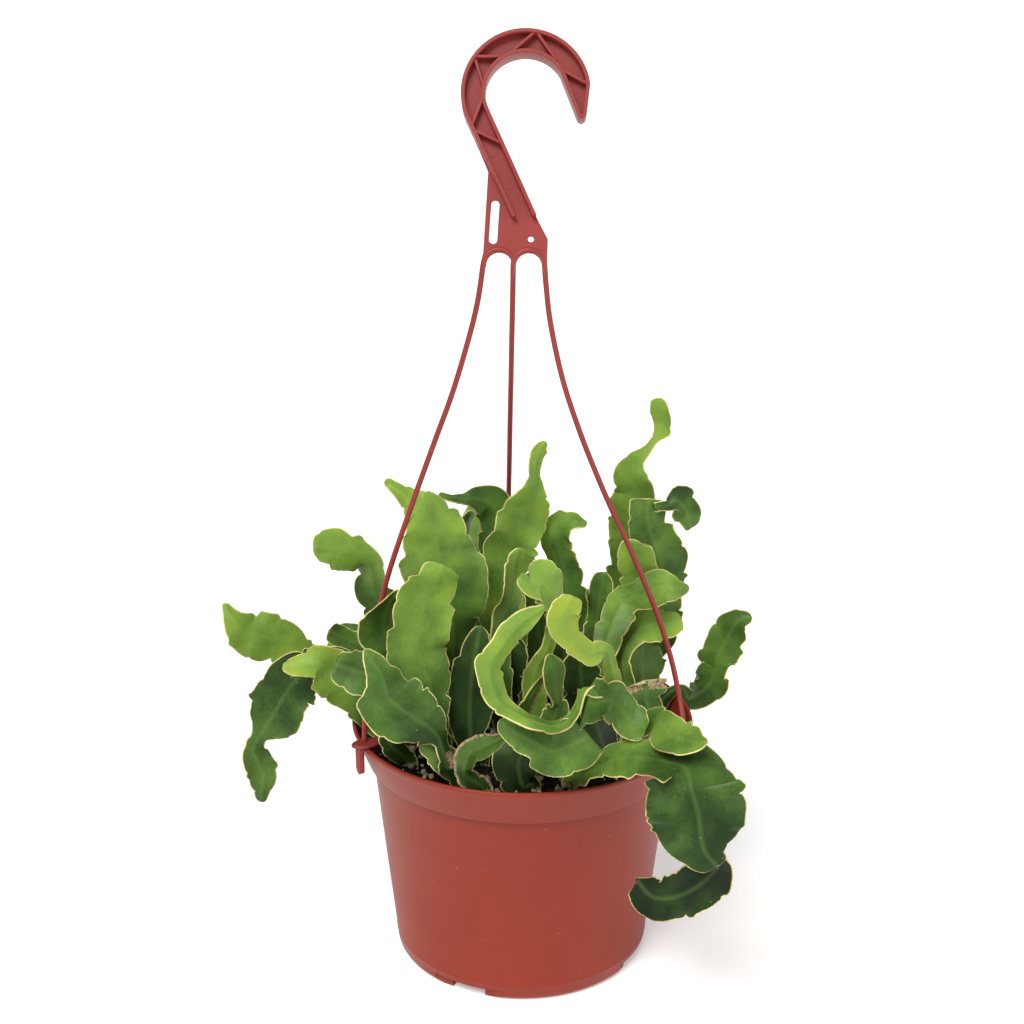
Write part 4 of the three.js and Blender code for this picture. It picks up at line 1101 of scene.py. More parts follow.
@dataclass(frozen=True)
class PottingMix:
    """The damp peat in the pot, with crumbs, fibres and pale grit on its surface."""

    pot: HangingPot
    top: float = 105.0
    mound: float = 1.0
    clear: float = 0.6
    swell: float = 0.9
    swell_rise: float = 6.0
    settled: float = 0.5
    rim_clear: float = 1.5
    under_clear: float = 0.3
    middle_radius: float = 1.2
    rings: int = 60
    sides: int = 150
    crumbs: Litter = Litter(5600, 0.45, 0.95, 2.0, stretch=(1.2, 1.0, 0.8), roughness=0.3, sunk=0.2)
    fibres: Litter = Litter(260, 0.2, 0.12, 1.0, stretch=(9.0, 1.0, 0.8), roughness=0.2, sunk=-1.0)
    grains: Litter = Litter(700, 0.45, 1.45, 2.2, stretch=(1.15, 1.0, 0.85), roughness=0.22, sunk=-0.3)
    seed: int = 7

    def top_radius(self) -> float:
        """Radius of the surface where it meets the pot's band.

        Returns:
            The radius.
        """
        taper = (self.pot.lip_radius - self.pot.band_foot_radius) / self.pot.band_height
        depth = self.pot.height - self.top
        return self.pot.lip_radius - self.pot.lip_thickness - self.clear - depth * taper

    def surface(self, x: np.ndarray, y: np.ndarray) -> np.ndarray:
        """Height of the uneven surface.

        Args:
            x: Places to the right.
            y: Places to the back.

        Returns:
            The heights there.
        """
        radius = np.hypot(x, y)
        even = self.top + self.mound * (1 - (radius / self.top_radius()) ** 2)
        rough = sum(np.sin(x * a + y * b + c) / n for n, (a, b, c) in enumerate(PEAT_WAVES, start=1))
        rise = smooth_step(0, self.swell_rise, self.top_radius() - radius)
        return even + self.swell * rough / 2 * rise - self.settled

    def bed(self) -> Form:
        """The body of the mix, with its uneven surface.

        Returns:
            The closed body.
        """
        pot = self.pot
        band_foot = pot.height - pot.band_height
        wall = pot.wall_thickness + self.clear
        floor = pot.floor_thickness + self.under_clear
        thick = pot.foot_thick_height
        under = [
            (0.0, floor),
            (pot.foot_inner_radius - pot.floor_inset - self.clear, floor),
            (pot.foot_inner_radius - self.clear, pot.foot_inner_height),
            (pot.wall_radius(thick) - wall, thick),
            (pot.wall_top_radius - wall, band_foot - pot.wall_thickness),
            (pot.band_foot_radius - wall, band_foot + pot.band_step + self.under_clear),
        ]
        radii = np.linspace(self.top_radius(), self.middle_radius, self.rings)
        form = lathe([*under, *((radius, self.top) for radius in radii), (0.0, self.top)], self.sides)
        vertices = np.vstack(form.vertices)
        on_top = vertices[:, 2] > self.top - SAME
        vertices[on_top, 2] = self.surface(vertices[on_top, 0], vertices[on_top, 1])
        form.vertices = [vertices]
        return form

    def spread(self, draw: np.random.Generator, count: int, sunk: np.ndarray) -> np.ndarray:
        """Random places on the surface.

        Args:
            draw: The seeded random draw.
            count: The number of places.
            sunk: How far below the surface each place lies.

        Returns:
            The places, one row each.
        """
        radius = (self.top_radius() - self.rim_clear) * np.sqrt(draw.uniform(size=count))
        turn = draw.uniform(0, 2 * math.pi, size=count)
        x, y = radius * np.cos(turn), radius * np.sin(turn)
        return np.stack([x, y, self.surface(x, y) - sunk], axis=1)

    def make(self) -> list[bpy.types.Object]:
        """Make the mix and what lies on it.

        Returns:
            The mix with its crumbs and fibres, and the grit.
        """
        draw = np.random.default_rng(self.seed)
        bed = self.bed()
        bed.values["shade"] = [np.zeros(bed.count)]
        self.crumbs.scatter(bed, draw, self)
        self.fibres.scatter(bed, draw, self)
        grit = Form()
        self.grains.scatter(grit, draw, self)
        return [
            bed.to_piece("potting_mix", DampPeat(), "potting_mix", ["soil"]),
            grit.to_piece("potting_mix_grit", CrushedGrit(), "potting_mix"),
        ]


@dataclass(frozen=True)
class Wire:
    """One of the hanger's wires, from the plate to its clip on the rim."""

    clip_angle: float
    route: tuple[Place, ...]


WIRES = (
    Wire(206.0, (
        (-16.9, 6.4, 325), (-17.6, 4, 318), (-20.2, 2, 301), (-24.8, 0, 283), (-31, -3, 263),
        (-37.7, -6, 245), (-46.5, -9, 221), (-56.4, -14, 193), (-61.3, -17, 176), (-66.2, -21, 152),
        (-68.7, -26, 132), (-69.3, -33, 114),
    )),
    Wire(344.0, (
        (7.9, 6.4, 325), (8.2, 4, 318), (8.9, 3, 309), (11.1, 3, 292), (16.6, 2, 268), (24.4, 1, 245),
        (32.5, 0, 225), (39.6, -1, 209), (44.4, -1, 199), (53.7, -2, 178), (60.9, -3, 160), (66.9, -5, 141),
        (70.2, -11, 126), (72, -20, 114),
    )),
    Wire(95.0, (
        (-5, 6.4, 325), (-5, 5, 318), (-5.2, 9, 301), (-5.5, 14, 283), (-5.8, 22, 263), (-6.1, 31, 245),
        (-6.4, 41, 221), (-6.8, 55, 193), (-6.9, 60, 176), (-7, 66, 152), (-7, 71, 130), (-7, 74, 114),
    )),
)

ZIGZAG_RIBS = (
    ((30.8, 73.0), (20.4, 78.6)),
    ((17.8, 82.6), (9.6, 94.8)),
    ((8.6, 94.8), (-2.6, 84.9)),
    ((-3.3, 84.5), (-16.0, 84.3)),
    ((-16.2, 83.0), (-12.7, 71.4)),
    ((-12.8, 67.2), (-17.8, 54.8)),
    ((-17.4, 53.4), (-5.6, 48.0)),
)


@dataclass(frozen=True)
class Drop:
    """A plate that hangs from a clip's disc.

    The outline gives each corner's place around the pot and its share of the length down. Beyond the lip
    is the distance of the plate's middle from the lip's outside, below 0 inside the pot.
    """

    outline: tuple[Point, ...]
    length: float
    thickness: float
    edge: float
    beyond_lip: float


@dataclass(frozen=True)
class Hanger:
    """The moulded hanger: ribbed hook, plate with a slot and a hole, three wires and three rim clips.

    The hook and plate are drawn in their own leaning plane, with u to the right and v up.
    """

    pot: HangingPot
    origin: Place = (-5.0, 0.0, 322.0)
    lean: float = 20.0
    depth: float = 10.0
    web: float = 2.2
    web_inset: float = 0.3
    web_edge: float = 0.25
    rib: float = 1.7
    zigzag: float = 1.3
    zigzag_drop: float = 1.0
    edge: float = 0.35
    hook_centre: Point = (5.0, 69.0)
    outer_radius: float = 27.3
    outer_sweep: Sweep = (8, 202, 56)
    inner_radius: float = 17.0
    inner_sweep: Sweep = (31, 206, 48)
    tip_centre: Point = (28.6, 60.2)
    tip_radius: float = 2.0
    tip_sweep: Sweep = (200, 355, 12)
    tip_rib_sweep: Sweep = (205, 355, 10)
    shank_left: Point = (-10.7, 36.4)
    shank_right: Point = (9.7, 17.1)
    plate_left: Point = (-13.1, -6.0)
    plate_right: Point = (14.2, -6.0)
    shoulder: Point = (14.5, 7.8)
    left_rib_foot: Point = (0.3, 16.6)
    arch_radius: float = 5.4
    arch_sweep: Sweep = (180, 0, 24)
    arch_centres: tuple[Point, ...] = ((-5.9, -3.2), (6.6, -3.4))
    foot_tips: tuple[Point, ...] = ((-13.1, -8.5), (0.0, -8.5), (13.4, -8.5))
    ridge_sweeps: tuple[Sweep, ...] = ((180, 17, 28), (163, 0, 28))
    ridge_radius: float = 1.25
    ridge_rings: int = 70
    ridge_start: float = -0.7
    ridge_rise: float = 1.3
    slot_low: Point = (-8.5, 7.5)
    slot_high: Point = (-7.6, 22.5)
    slot_width: float = 3.5
    slot_high_sweep: Sweep = (3, 183, 14)
    slot_low_sweep: Sweep = (183, 363, 14)
    pin_hole: Point = (7.4, 7.8)
    pin_radius: float = 1.3
    marks: tuple[Point, ...] = ((-8.6, 43.6), (-1.5, 30.1), (12.0, 4.5))
    mark_radius: float = 1.45
    mark_rise: float = 0.3
    mark_edge: float = 0.05
    wire_radius: float = 1.2
    wire_root: float = 9.0
    wire_rings: int = 150
    gap: float = 0.3
    disc: Place = (7.2, 4.2, 1.6)
    disc_inset: float = 1.8
    disc_edge: float = 0.7
    leg: Drop = Drop(
        ((-2.6, 0), (2.6, 0), (2.392, 0.9), (0.52, 1), (-2.392, 0.84)),
        length=14.0, thickness=2.6, edge=0.4, beyond_lip=1.7,
    )
    leg_ridge: Drop = Drop(
        ((-0.9, 0), (0.9, 0), (0.7, 0.93), (-0.5, 0.9)),
        length=14.0, thickness=2.6, edge=0.45, beyond_lip=2.05,
    )
    tongue: Drop = Drop(
        ((-3, 0), (3, 0), (2.4, 1), (-2.4, 1)), length=5.5, thickness=1.5, edge=0.3, beyond_lip=-3.75
    )

    def plane(self) -> Matrix:
        """The matrix from the hook's own plane to the part's frame, in millimetres.

        Returns:
            The matrix.
        """
        lean = math.radians(self.lean)
        right, up = Vector((1, 0, 0)), Vector((0, math.sin(lean), math.cos(lean)))
        turn = Matrix((right, up, right.cross(up))).transposed().to_4x4()
        return Matrix.Translation(self.origin) @ turn @ Matrix.Translation((0, 0, -self.depth / 2))

    def rims(self, inset: float) -> tuple[list[Point], list[Point]]:
        """The hook's outer and inner arcs, moved into the material by inset."""
        outer = arc(self.hook_centre, self.outer_radius - inset, self.outer_sweep)
        return outer, arc(self.hook_centre, self.inner_radius + inset, self.inner_sweep)

    def web_outline(self) -> list[Point]:
        """The outline of the thin web that joins the ribs.

        Returns:
            The outline's corners.
        """
        outer, inner = self.rims(self.web_inset)
        feet = [self.foot_tips[0]]
        for centre, foot in zip(self.arch_centres, self.foot_tips[1:]):
            feet += [*arc(centre, self.arch_radius, self.arch_sweep), foot]
        tip = arc(self.tip_centre, self.tip_radius, self.tip_sweep)
        return [
            self.plate_right, self.shoulder, self.shank_right, *reversed(inner), *tip, *outer,
            self.shank_left, self.plate_left, *feet,
        ]

    def slot(self) -> list[Point]:
        """The outline of the long slot."""
        high = arc(self.slot_high, self.slot_width / 2, self.slot_high_sweep)
        return [*high, *arc(self.slot_low, self.slot_width / 2, self.slot_low_sweep)]

    def hook(self) -> Form:
        """The hook and plate in their own plane.

        Returns:
            The ribbed hook with its plate.
        """
        form = Form()
        holes = [self.slot(), circle(self.pin_hole, self.pin_radius)]
        form.add_form(moulded_plate(self.web_outline(), self.web, self.web_edge, holes))
        inset = self.rib / 2
        outer, inner = self.rims(inset)
        tip = arc(self.tip_centre, self.tip_radius - inset, self.tip_rib_sweep)
        rim = [(self.shank_right[0] - inset, self.shank_right[1]), *reversed(inner)]
        rim += [*tip, *outer, self.left_rib_foot]
        form.add_form(moulded_plate(strip(rim, self.rib), self.depth, self.edge))
        for line in ZIGZAG_RIBS:
            form.add_form(moulded_plate(strip(line, self.zigzag), self.depth - self.zigzag_drop, self.edge))
        proud = Matrix.Translation((0, 0, self.web / 2))
        for centre in self.marks:
            ring = circle(centre, self.mark_radius)
            form.add_form(moulded_plate(ring, self.mark_rise, self.mark_edge), proud)
        form.add_form(self.arches())
        return form

    def arches(self) -> Form:
        """The raised rims over the two arches, whose ends sink into the wires.

        Returns:
            The rims in the hook's own plane.
        """
        form = Form()
        laid_flat = Matrix.Rotation(math.pi / 2, 4, "X")
        reach = self.arch_radius + self.ridge_radius
        for centre, sweep in zip(self.arch_centres, self.ridge_sweeps):
            route = []
            for u, v in arc(centre, reach, sweep):
                rise = self.ridge_rise * (v - centre[1]) / reach
                route.append((u, self.ridge_start + rise, -v))
            form.add_form(tube(route, self.ridge_radius, self.ridge_rings), laid_flat)
        return form

    def clip(self, angle: float) -> Form:
        """A clip on the rim: a disc on the lip, a ridged leg outside it and a tongue inside.

        Args:
            angle: The clip's direction from the pot's axis in degrees.

        Returns:
            The clip in the part's frame.
        """
        turn = Matrix.Rotation(math.radians(angle), 4, "Z")
        deep, wide, thick = self.disc
        middle = self.pot.height + self.gap + thick / 2
        form = Form()
        oval = [(deep * x, wide * y) for x, y in circle((0, 0), 1, 36)]
        on_lip = Matrix.Translation((self.pot.lip_radius - self.disc_inset, 0, middle))
        form.add_form(moulded_plate(oval, thick, self.disc_edge), turn @ on_lip)
        for drop in (self.leg, self.leg_ridge, self.tongue):
            outline = [(x, middle - share * drop.length) for x, share in drop.outline]
            place = Matrix.Translation((self.pot.lip_radius + drop.beyond_lip, 0, 0))
            form.add_form(moulded_plate(outline, drop.thickness, drop.edge), turn @ place @ UPRIGHT)
        return form

    def make(self) -> bpy.types.Object:
        """Make the hanger.

        Returns:
            The hanger.
        """
        form = Form()
        form.add_form(self.hook(), self.plane())
        for wire in WIRES:
            form.add_form(tube(wire.route, self.wire_radius, self.wire_rings, self.wire_root))
            form.add_form(self.clip(wire.clip_angle))
        finish = MouldedPolypropylene(
            name="moulded_polypropylene_hanger", colour="#943833", cloud="#7f2d29", roughness=0.38
        )
        return form.to_piece("hanger_moulding", finish, "hanger_plastic", ["hanger"], crease=38.0)


class Side(Enum):
    """A side of a blade, seen with its face towards the eye and its tip up."""

    LEFT = -1
    RIGHT = 1


class Tone(Enum):
    """How green a stem is, from old and shaded to young and sunlit."""

    DEEP = 0.06
    DARK = 0.24
    LEAF = 0.46
    FRESH = 0.62
    LIGHT = 0.76
    LIME = 0.92


@dataclass(frozen=True)
class Scab:
    """A corky patch along a margin, over a share of the stem's length and some millimetres deep."""

    side: Side
    start: float
    end: float
    deep: float


@dataclass(frozen=True)
class Stem:
    """One flat stem.

    A station is (x, y, z, half width, face x, face z), and the blade faces (face x, -1, face z) there.
    Stems with the same node grow together. A stem without a root starts inside the one that it grows from.
    """

    node: str
    tones: tuple[Tone, Tone]
    stations: tuple[Station, ...]
    root: Point | None = None
    scabs: tuple[Scab, ...] = ()


STEMS = (
    Stem("stem_far_left_upper", (Tone.LIGHT, Tone.LIGHT), root=(-50, 15), stations=(
        (-60, 15, 122, 5, 0, 0.3), (-77.5, 16, 131.2, 4.9, 0, 0.2), (-88.6, 16, 133.4, 5, 0.1, 0.4),
        (-98.6, 15, 135.3, 4.9, 0.3, 0.3), (-106.7, 13.5, 142.1, 7.7, 0.3, 0.2),
        (-116, 11, 145.1, 11.5, 0.3, 0.2), (-124.4, 8.5, 148.5, 10, 0.5, 0.1),
        (-128.4, 6, 152.7, 7.8, 0.5, 0), (-130.9, 5, 156.7, 4.8, 0.4, 0),
        (-132.7, 4.5, 160.8, 2.4, 0.3, 0), (-134.4, 4, 164.8, 1.2, 0, -0.1),
    )),
    Stem("stem_far_left_hanging", (Tone.DEEP, Tone.LEAF), root=(-54, -2), stations=(
        (-65, -6, 126, 7, 0, 0.3), (-80.4, -6, 140.6, 6.3, 0.3, 0.8),
        (-93.1, -7, 137.4, 9.3, -0.1, 0.6), (-100.3, -8, 134.3, 12.6, -0.2, 0.4),
        (-107, -9.5, 125.7, 12.3, -0.3, 0.3), (-111.4, -10.5, 118, 13.6, -0.2, 0.2),
        (-115.5, -10.5, 110.6, 9, -0.2, 0.1), (-119.2, -10, 105.1, 3.5, 0, 0),
        (-122, -10, 98.9, 5.3, 0.4, 0), (-120.2, -10, 92.3, 6.7, 0.5, 0.1),
        (-118.2, -10, 86, 6.7, 0.3, 0), (-119.2, -10, 78.7, 3.9, 0.3, 0),
        (-119.5, -10, 72.6, 1.6, 0, 0),
    )),
    Stem("stem_left_bright", (Tone.LEAF, Tone.LIME), root=(-58, -14), stations=(
        (-66, -13, 113, 5, 0, 0.3), (-70.3, -14, 118.8, 5.2, 0.4, 0.2),
        (-75.4, -14.5, 126.4, 7.9, 0.5, 0.2), (-79.9, -16, 134.3, 10, 0.5, 0.1),
        (-85.2, -17, 140.8, 10.8, 0.6, 0.2), (-89.7, -19, 145.7, 7.4, 0.5, 0.5),
        (-96.6, -20, 145.1, 5, 0, 0.7), (-102.9, -20.5, 144.3, 3, 0, 0.5),
        (-105.5, -20.5, 144.8, 1.4, 0.1, 0.4),
    )),
    Stem("stem_left_dark", (Tone.DARK, Tone.LEAF), root=(-42, 8), stations=(
        (-59, 9, 126, 7, 0, 0.3), (-69.2, 8, 141.6, 6.2, 0.7, 0.6), (-77.9, 7, 145.2, 5.3, 0.7, 1.1),
        (-83.6, 5.5, 148.2, 5.2, 0.8, 0.8), (-87.6, 4, 151.7, 4.2, 0.6, 0.3),
    )),
    Stem("stem_left_curled", (Tone.DEEP, Tone.LIGHT), root=(-44, 30), stations=(
        (-58, 28, 124, 7, 0, 0.3), (-62.2, 25, 147.8, 8.3, -0.3, -0.2),
        (-68.7, 23.5, 162, 10.1, -0.3, -0.2), (-69.2, 21.5, 170.6, 6.7, -0.4, -0.3),
        (-70.4, 18.5, 178.7, 6.9, 0, -0.3), (-75.6, 17, 183.1, 7.6, 0.4, 0),
        (-84, 14, 187.5, 9.5, 0.5, 0.3), (-91, 11, 189, 6.5, 0.5, 0.4),
        (-94.2, 9.5, 189.2, 3.1, 0.5, 0.4),
    )),
    Stem("stem_left_edged", (Tone.DARK, Tone.LEAF), root=(-32, -14), stations=(
        (-50, -26, 136, 8, 0, 0.3), (-55.3, -29, 155, 7.9, 0.7, 0.2),
        (-60.3, -28.5, 165.7, 11.2, 0.7, 0.2), (-58.5, -28, 174.3, 8.3, 0.7, -0.2),
        (-55.8, -28.5, 180.2, 3.8, 0.8, -0.5), (-53.4, -28.5, 183.6, 1.2, 0.6, -0.4),
    )),
    Stem("stem_front_left_tall", (Tone.DARK, Tone.LIGHT), root=(-34, -38), stations=(
        (-38, -46, 133, 6, 0, 0.3), (-39.7, -48, 149.1, 9.9, 0.4, 0),
        (-44.1, -48, 161.7, 12.7, 0.5, 0.1), (-43.8, -47, 172.8, 13.1, 0.5, 0.1),
        (-41.3, -44.5, 183.4, 14.1, 0.5, 0.1), (-37.4, -42.5, 191.2, 11.8, 0.5, 0),
        (-34.9, -41.5, 196.8, 8.6, 0.4, 0), (-33.7, -41, 199.3, 5.2, 0.4, 0),
    )),
    Stem("stem_front_left_star", (Tone.DARK, Tone.LEAF), stations=(
        (-31, -62, 116, 4, 0, 0.3), (-34.2, -65, 129.6, 2.8, 0.6, -0.1),
        (-36.9, -67.5, 136, 7.4, 0.6, 0), (-42.7, -69.5, 141.7, 10.7, 0.4, 0.2),
        (-49.7, -70.5, 147.3, 13.6, 0.3, 0.3), (-55.5, -70, 152.7, 13, 0.4, 0.3),
        (-57.5, -69, 160.2, 7.8, 0.7, 0.3), (-60.4, -69, 166.5, 4.8, 0.7, 0.4),
        (-64.7, -69.5, 173.1, 1.2, 0.6, 0.3),
    ), scabs=(Scab(Side.RIGHT, 0.0, 0.13, 5.0),)),
    Stem("stem_left_low_dark", (Tone.DARK, Tone.LEAF), root=(-50, -38), stations=(
        (-57, -44, 120, 5, 0, 0.3), (-52.8, -52, 137.1, 5.7, 2.2, -0.3),
        (-58.2, -55, 150.4, 7.8, 0.9, 0.4), (-65.1, -56, 156.2, 10, 0.4, 0.6),
        (-72.3, -55.5, 158.5, 8.4, 0.2, 0.9), (-78.6, -54.5, 160.7, 5.5, 0.1, 0.9),
    )),
    Stem("stem_centre_left_dark", (Tone.DEEP, Tone.DARK), root=(-18, -38), stations=(
        (-22, -42, 118, 6, 0, 0.3), (-23, -39, 133, 10, 0.3, 0.2), (-22, -36, 148, 9.5, 0.3, 0.2),
        (-20, -33, 160, 6, 0.2, 0.2), (-18, -31, 168, 2, 0, 0.3),
    )),
    Stem("stem_upper_left_big", (Tone.DARK, Tone.LIGHT), root=(-24, -2), stations=(
        (-31, -3, 123, 8, 0, 0.3), (-31.2, -6, 147.3, 8.5, 0.5, -0.1),
        (-31.5, -6, 166.3, 14.7, 0.3, 0.1), (-33.1, -5, 177.7, 17.7, 0.2, 0.1),
        (-36.8, -4, 189, 18, 0.2, 0.3), (-38.4, -1.5, 195.6, 15, 0.2, 0.4),
        (-40.4, 1, 203.4, 13, 0.3, 0.5), (-44.5, 3.5, 209.2, 9.6, 0.3, 0.7),
        (-48, 4.5, 211.7, 7.2, 0.4, 0.9), (-52.5, 6, 215.1, 5.3, 0.6, 1.2),
        (-56.8, 7.5, 218.3, 3.1, 0.4, 1), (-61.2, 9, 221.3, 1.2, -0.1, 0.3),
    )),
    Stem("stem_upper_dark_leaning", (Tone.DARK, Tone.LEAF), root=(-6, 34), stations=(
        (-11, 36, 154, 8, 0, 0.3), (-12.5, 35, 176.8, 8.1, -0.4, -0.1),
        (-12.5, 33, 192.2, 8.1, -0.3, -0.1), (-14, 32, 202.2, 9, 0.3, 0),
        (-20.4, 31, 205.6, 5.9, 0.4, 0.5), (-27.4, 28.5, 206.1, 3, 0.6, 1.4),
        (-34.2, 26.5, 207.9, 2.6, 0.8, 2.1), (-38.5, 26.5, 209.3, 1.2, 0.2, 0.6),
    )),
    Stem("stem_centre_tall", (Tone.LEAF, Tone.LIGHT), root=(-2, 12), stations=(
        (-8, 12, 146, 10, 0, 0.3), (-9.4, 11.5, 168.3, 10.7, 0.2, 0), (-7, 11, 186.2, 12.1, 0.2, -0.1),
        (-2.8, 9.5, 195.5, 11.9, 0.2, -0.2), (0.5, 8.5, 206.4, 11.9, 0.3, -0.2),
        (3.1, 7, 213.4, 8.7, 0.3, -0.3), (4.4, 6, 219.3, 4.7, 0.5, -0.2), (4.5, 6, 224.3, 2.4, 0.4, 0),
        (4.9, 6, 230.7, 3.4, 0.7, -0.2), (6.6, 5, 236.2, 4, 0.5, -0.3), (9.2, 5, 240.5, 1.9, 0.5, -0.3),
    )),
    Stem("stem_centre_right_curled", (Tone.DARK, Tone.FRESH), root=(18, 18), stations=(
        (20, 16, 144, 8, 0, 0.3), (19.9, 16, 163.3, 10.1, -0.6, 0), (19.1, 16, 175.7, 10.5, -0.7, -0.1),
        (16.9, 16, 185.5, 9.3, -0.8, -0.3), (15.2, 14.5, 193.2, 8.1, -0.9, -0.2),
        (17.3, 13, 198.5, 8.1, -1.3, 0.6), (21.5, 11.5, 201.4, 6.3, -1.1, 2),
        (25.5, 10, 201.4, 3.7, -0.1, 3.8), (28.4, 9.5, 201.1, 1.2, -0.1, 0.6),
    )),
    Stem("stem_centre_narrow", (Tone.DARK, Tone.LIGHT), root=(-8, -14), stations=(
        (-11, -19, 138, 6, 0, 0.3), (-9.2, -20, 157.8, 7.5, 1.3, -0.2),
        (-7.5, -20, 170.2, 8.6, 1.4, -0.2), (-6, -20, 178.3, 8.2, 1.6, -0.2),
        (-4.9, -20, 188.7, 7.2, 1.5, -0.2), (-3.1, -20, 196.6, 5.3, 1.1, -0.2),
        (-2.7, -20, 199.8, 1.5, 0.9, -0.1),
    )),
    Stem("stem_centre_small_bright", (Tone.LIGHT, Tone.LIGHT), root=(8, -18), stations=(
        (5, -24, 140, 5, 0, 0.3), (10.9, -28, 157.9, 2.7, 0.2, -0.3),
        (13.6, -32, 175.9, 4.5, 0.8, -0.3), (12, -36, 184.7, 7.6, 0.9, -0.1),
        (7.9, -38, 190.6, 10.1, 0.6, 0.4), (2.2, -40, 190.4, 4.5, 0.6, 1),
        (-2.3, -40.5, 194.1, 2.1, 0.8, 0.8),
    )),
    Stem("stem_ring", (Tone.LEAF, Tone.LIGHT), root=(24, -46), stations=(
        (34, -60, 130, 4, 0, 0.3), (32, -70, 148, 3, 0, 0.3), (28, -82, 160, 2.2, -0.9, 0.3),
        (23.4, -88.5, 164.4, 2.8, -4, 4), (21.7, -88.5, 157.2, 3.3, -3.7, 1.3),
        (18, -86.5, 150, 3.6, -2.2, 2.1), (11.8, -87, 147.4, 4.1, -0.1, 4),
        (4.4, -87, 149.5, 4.1, 2.2, 4), (-2.8, -87, 152.8, 4.3, 2.3, 4),
        (-9.9, -85, 157.2, 5.5, 1.2, 1.4), (-13.3, -83, 164.3, 6.3, 1, 0.5),
        (-13.6, -81, 172.5, 7.4, 0.7, 0.1), (-9.6, -78.5, 177.9, 5.7, 0.7, -0.1),
        (-5.3, -76.5, 183.8, 5.6, 0.5, -0.1), (1.1, -74, 189, 4.6, 0.5, -0.2),
        (8, -71.5, 193.2, 1.3, 0.5, -0.2),
    )),
    Stem("stem_ring", (Tone.DEEP, Tone.DARK), stations=(
        (34, -63, 116, 4, 0, 0.3), (33, -66, 128, 7, 0.2, 0.3), (30, -70, 140, 7, 0.3, 0.3),
        (27, -73, 150, 4, 0.3, 0.3),
    )),
    Stem("stem_ring", (Tone.LEAF, Tone.LEAF), stations=(
        (25.1, -85, 157.5, 10.5, 0.7, 0), (28.4, -82.5, 156, 10.3, 0.7, 0),
        (31.7, -80, 155.7, 8.7, 0.6, 0), (35.5, -78, 155.1, 8.9, 0.6, 0.1),
        (38.9, -76, 150.9, 7.7, 0.7, 0.3), (42.1, -75.5, 146.5, 7.3, 0.3, 0.4),
        (46.3, -77, 143.6, 6.6, -0.1, 0.3), (49.7, -78, 142.5, 4.2, -0.2, 0.3),
    )),
    Stem("stem_centre_boomerang", (Tone.LIGHT, Tone.LIME), root=(20, -28), stations=(
        (38, -36, 135, 4, 0, 0.3), (36, -43, 157.8, 3.1, 0.9, -0.2),
        (33.3, -46.5, 163.6, 3.4, 0.9, 0.1), (28.4, -49, 163.5, 5.2, 0.6, 0.4),
        (23.3, -51, 167.1, 4.9, 0.7, 0.3), (19, -53, 172.8, 6, 0.8, 0.2),
        (16.6, -54, 179.8, 7.3, 0.6, 0), (17.3, -54, 185.6, 6.8, 0.5, -0.1),
        (19.3, -53.5, 190.9, 4.8, 0.3, 0),
    )),
    Stem("stem_centre_scarred", (Tone.LEAF, Tone.LEAF), root=(4, -42), stations=(
        (14, -50, 137, 5, 0, 0.3), (14.4, -52, 142.9, 2.1, 0.5, -0.2), (13, -53, 150, 4.7, 0.8, 0),
        (12.5, -53.5, 157.2, 5.8, 0.7, 0.1), (10.8, -53.5, 162.4, 3, 0.6, 0.1),
        (10.5, -53.5, 164.9, 1.2, 0.6, 0.1),
    ), scabs=(Scab(Side.LEFT, 0.0, 0.3, 3.0), Scab(Side.RIGHT, 0.1, 0.3, 3.0),)),
    Stem("stem_right_broad_bright", (Tone.LEAF, Tone.FRESH), root=(30, -6), stations=(
        (33, -9, 135, 8, 0, 0.3), (36.7, -7, 146.8, 5.7, -0.2, 0.4),
        (40.1, -1.5, 157.6, 7.3, -0.7, 0.9), (46, 4, 166.3, 8.6, -0.2, 1.5),
        (54.5, 9.5, 167.1, 8.3, 0.3, 1.7), (61.8, 13.5, 169.5, 8.2, 0.3, 1),
        (68.9, 16, 168.6, 5.6, 0.5, 1), (73.9, 18, 167.9, 2.9, 0.4, 1.3),
        (76, 18.5, 168.2, 1.2, 0.1, 1),
    )),
    Stem("stem_right_low_bright", (Tone.LEAF, Tone.LIGHT), root=(46, -12), stations=(
        (47, -6, 124, 5, 0, 0.3), (45.1, -3, 139.8, 3.9, -0.8, 0.3), (48.4, 1.5, 148.9, 5.3, -0.8, 1.2),
        (55.3, 6, 153.7, 8.4, 0.4, 1), (64, 11.5, 152.3, 7.2, 0.8, 1.1), (70.9, 16, 152, 4.9, 0.8, 1.2),
        (73.4, 18, 151.4, 1.5, 1.1, 1.3),
    )),
    Stem("stem_right_tall", (Tone.LEAF, Tone.LIGHT), root=(36, 40), stations=(
        (47, 41, 134, 7, 0, 0.3), (47.2, 42.5, 153.5, 8.7, -0.4, 0.1), (50.7, 42, 174.3, 10.1, -0.4, 0),
        (51.4, 41.5, 188.2, 11.6, -0.4, 0), (51.6, 40.5, 197.1, 12.9, -0.4, -0.1),
        (52.2, 39.5, 205.7, 10.8, -0.5, -0.1), (49.9, 39, 213.8, 9.2, -0.5, -0.1),
        (51.1, 38.5, 221.3, 4.8, -0.5, 0.1), (55.5, 37.5, 226.4, 2.5, -0.6, 0.4),
        (59.8, 37, 232.5, 1.7, -0.6, 0.3), (63.2, 36.5, 239.5, 5.5, -0.8, 0),
        (61.7, 35.5, 247, 4.6, -0.6, -0.2), (60.4, 35, 252.7, 2.6, -0.4, -0.2),
    )),
    Stem("stem_right_upper", (Tone.LEAF, Tone.LEAF), root=(50, 30), stations=(
        (64, 32, 138, 8, 0, 0.3), (65, 31.5, 157.6, 10.5, 0.3, 0), (64.2, 31, 173.6, 12.9, 0.2, 0),
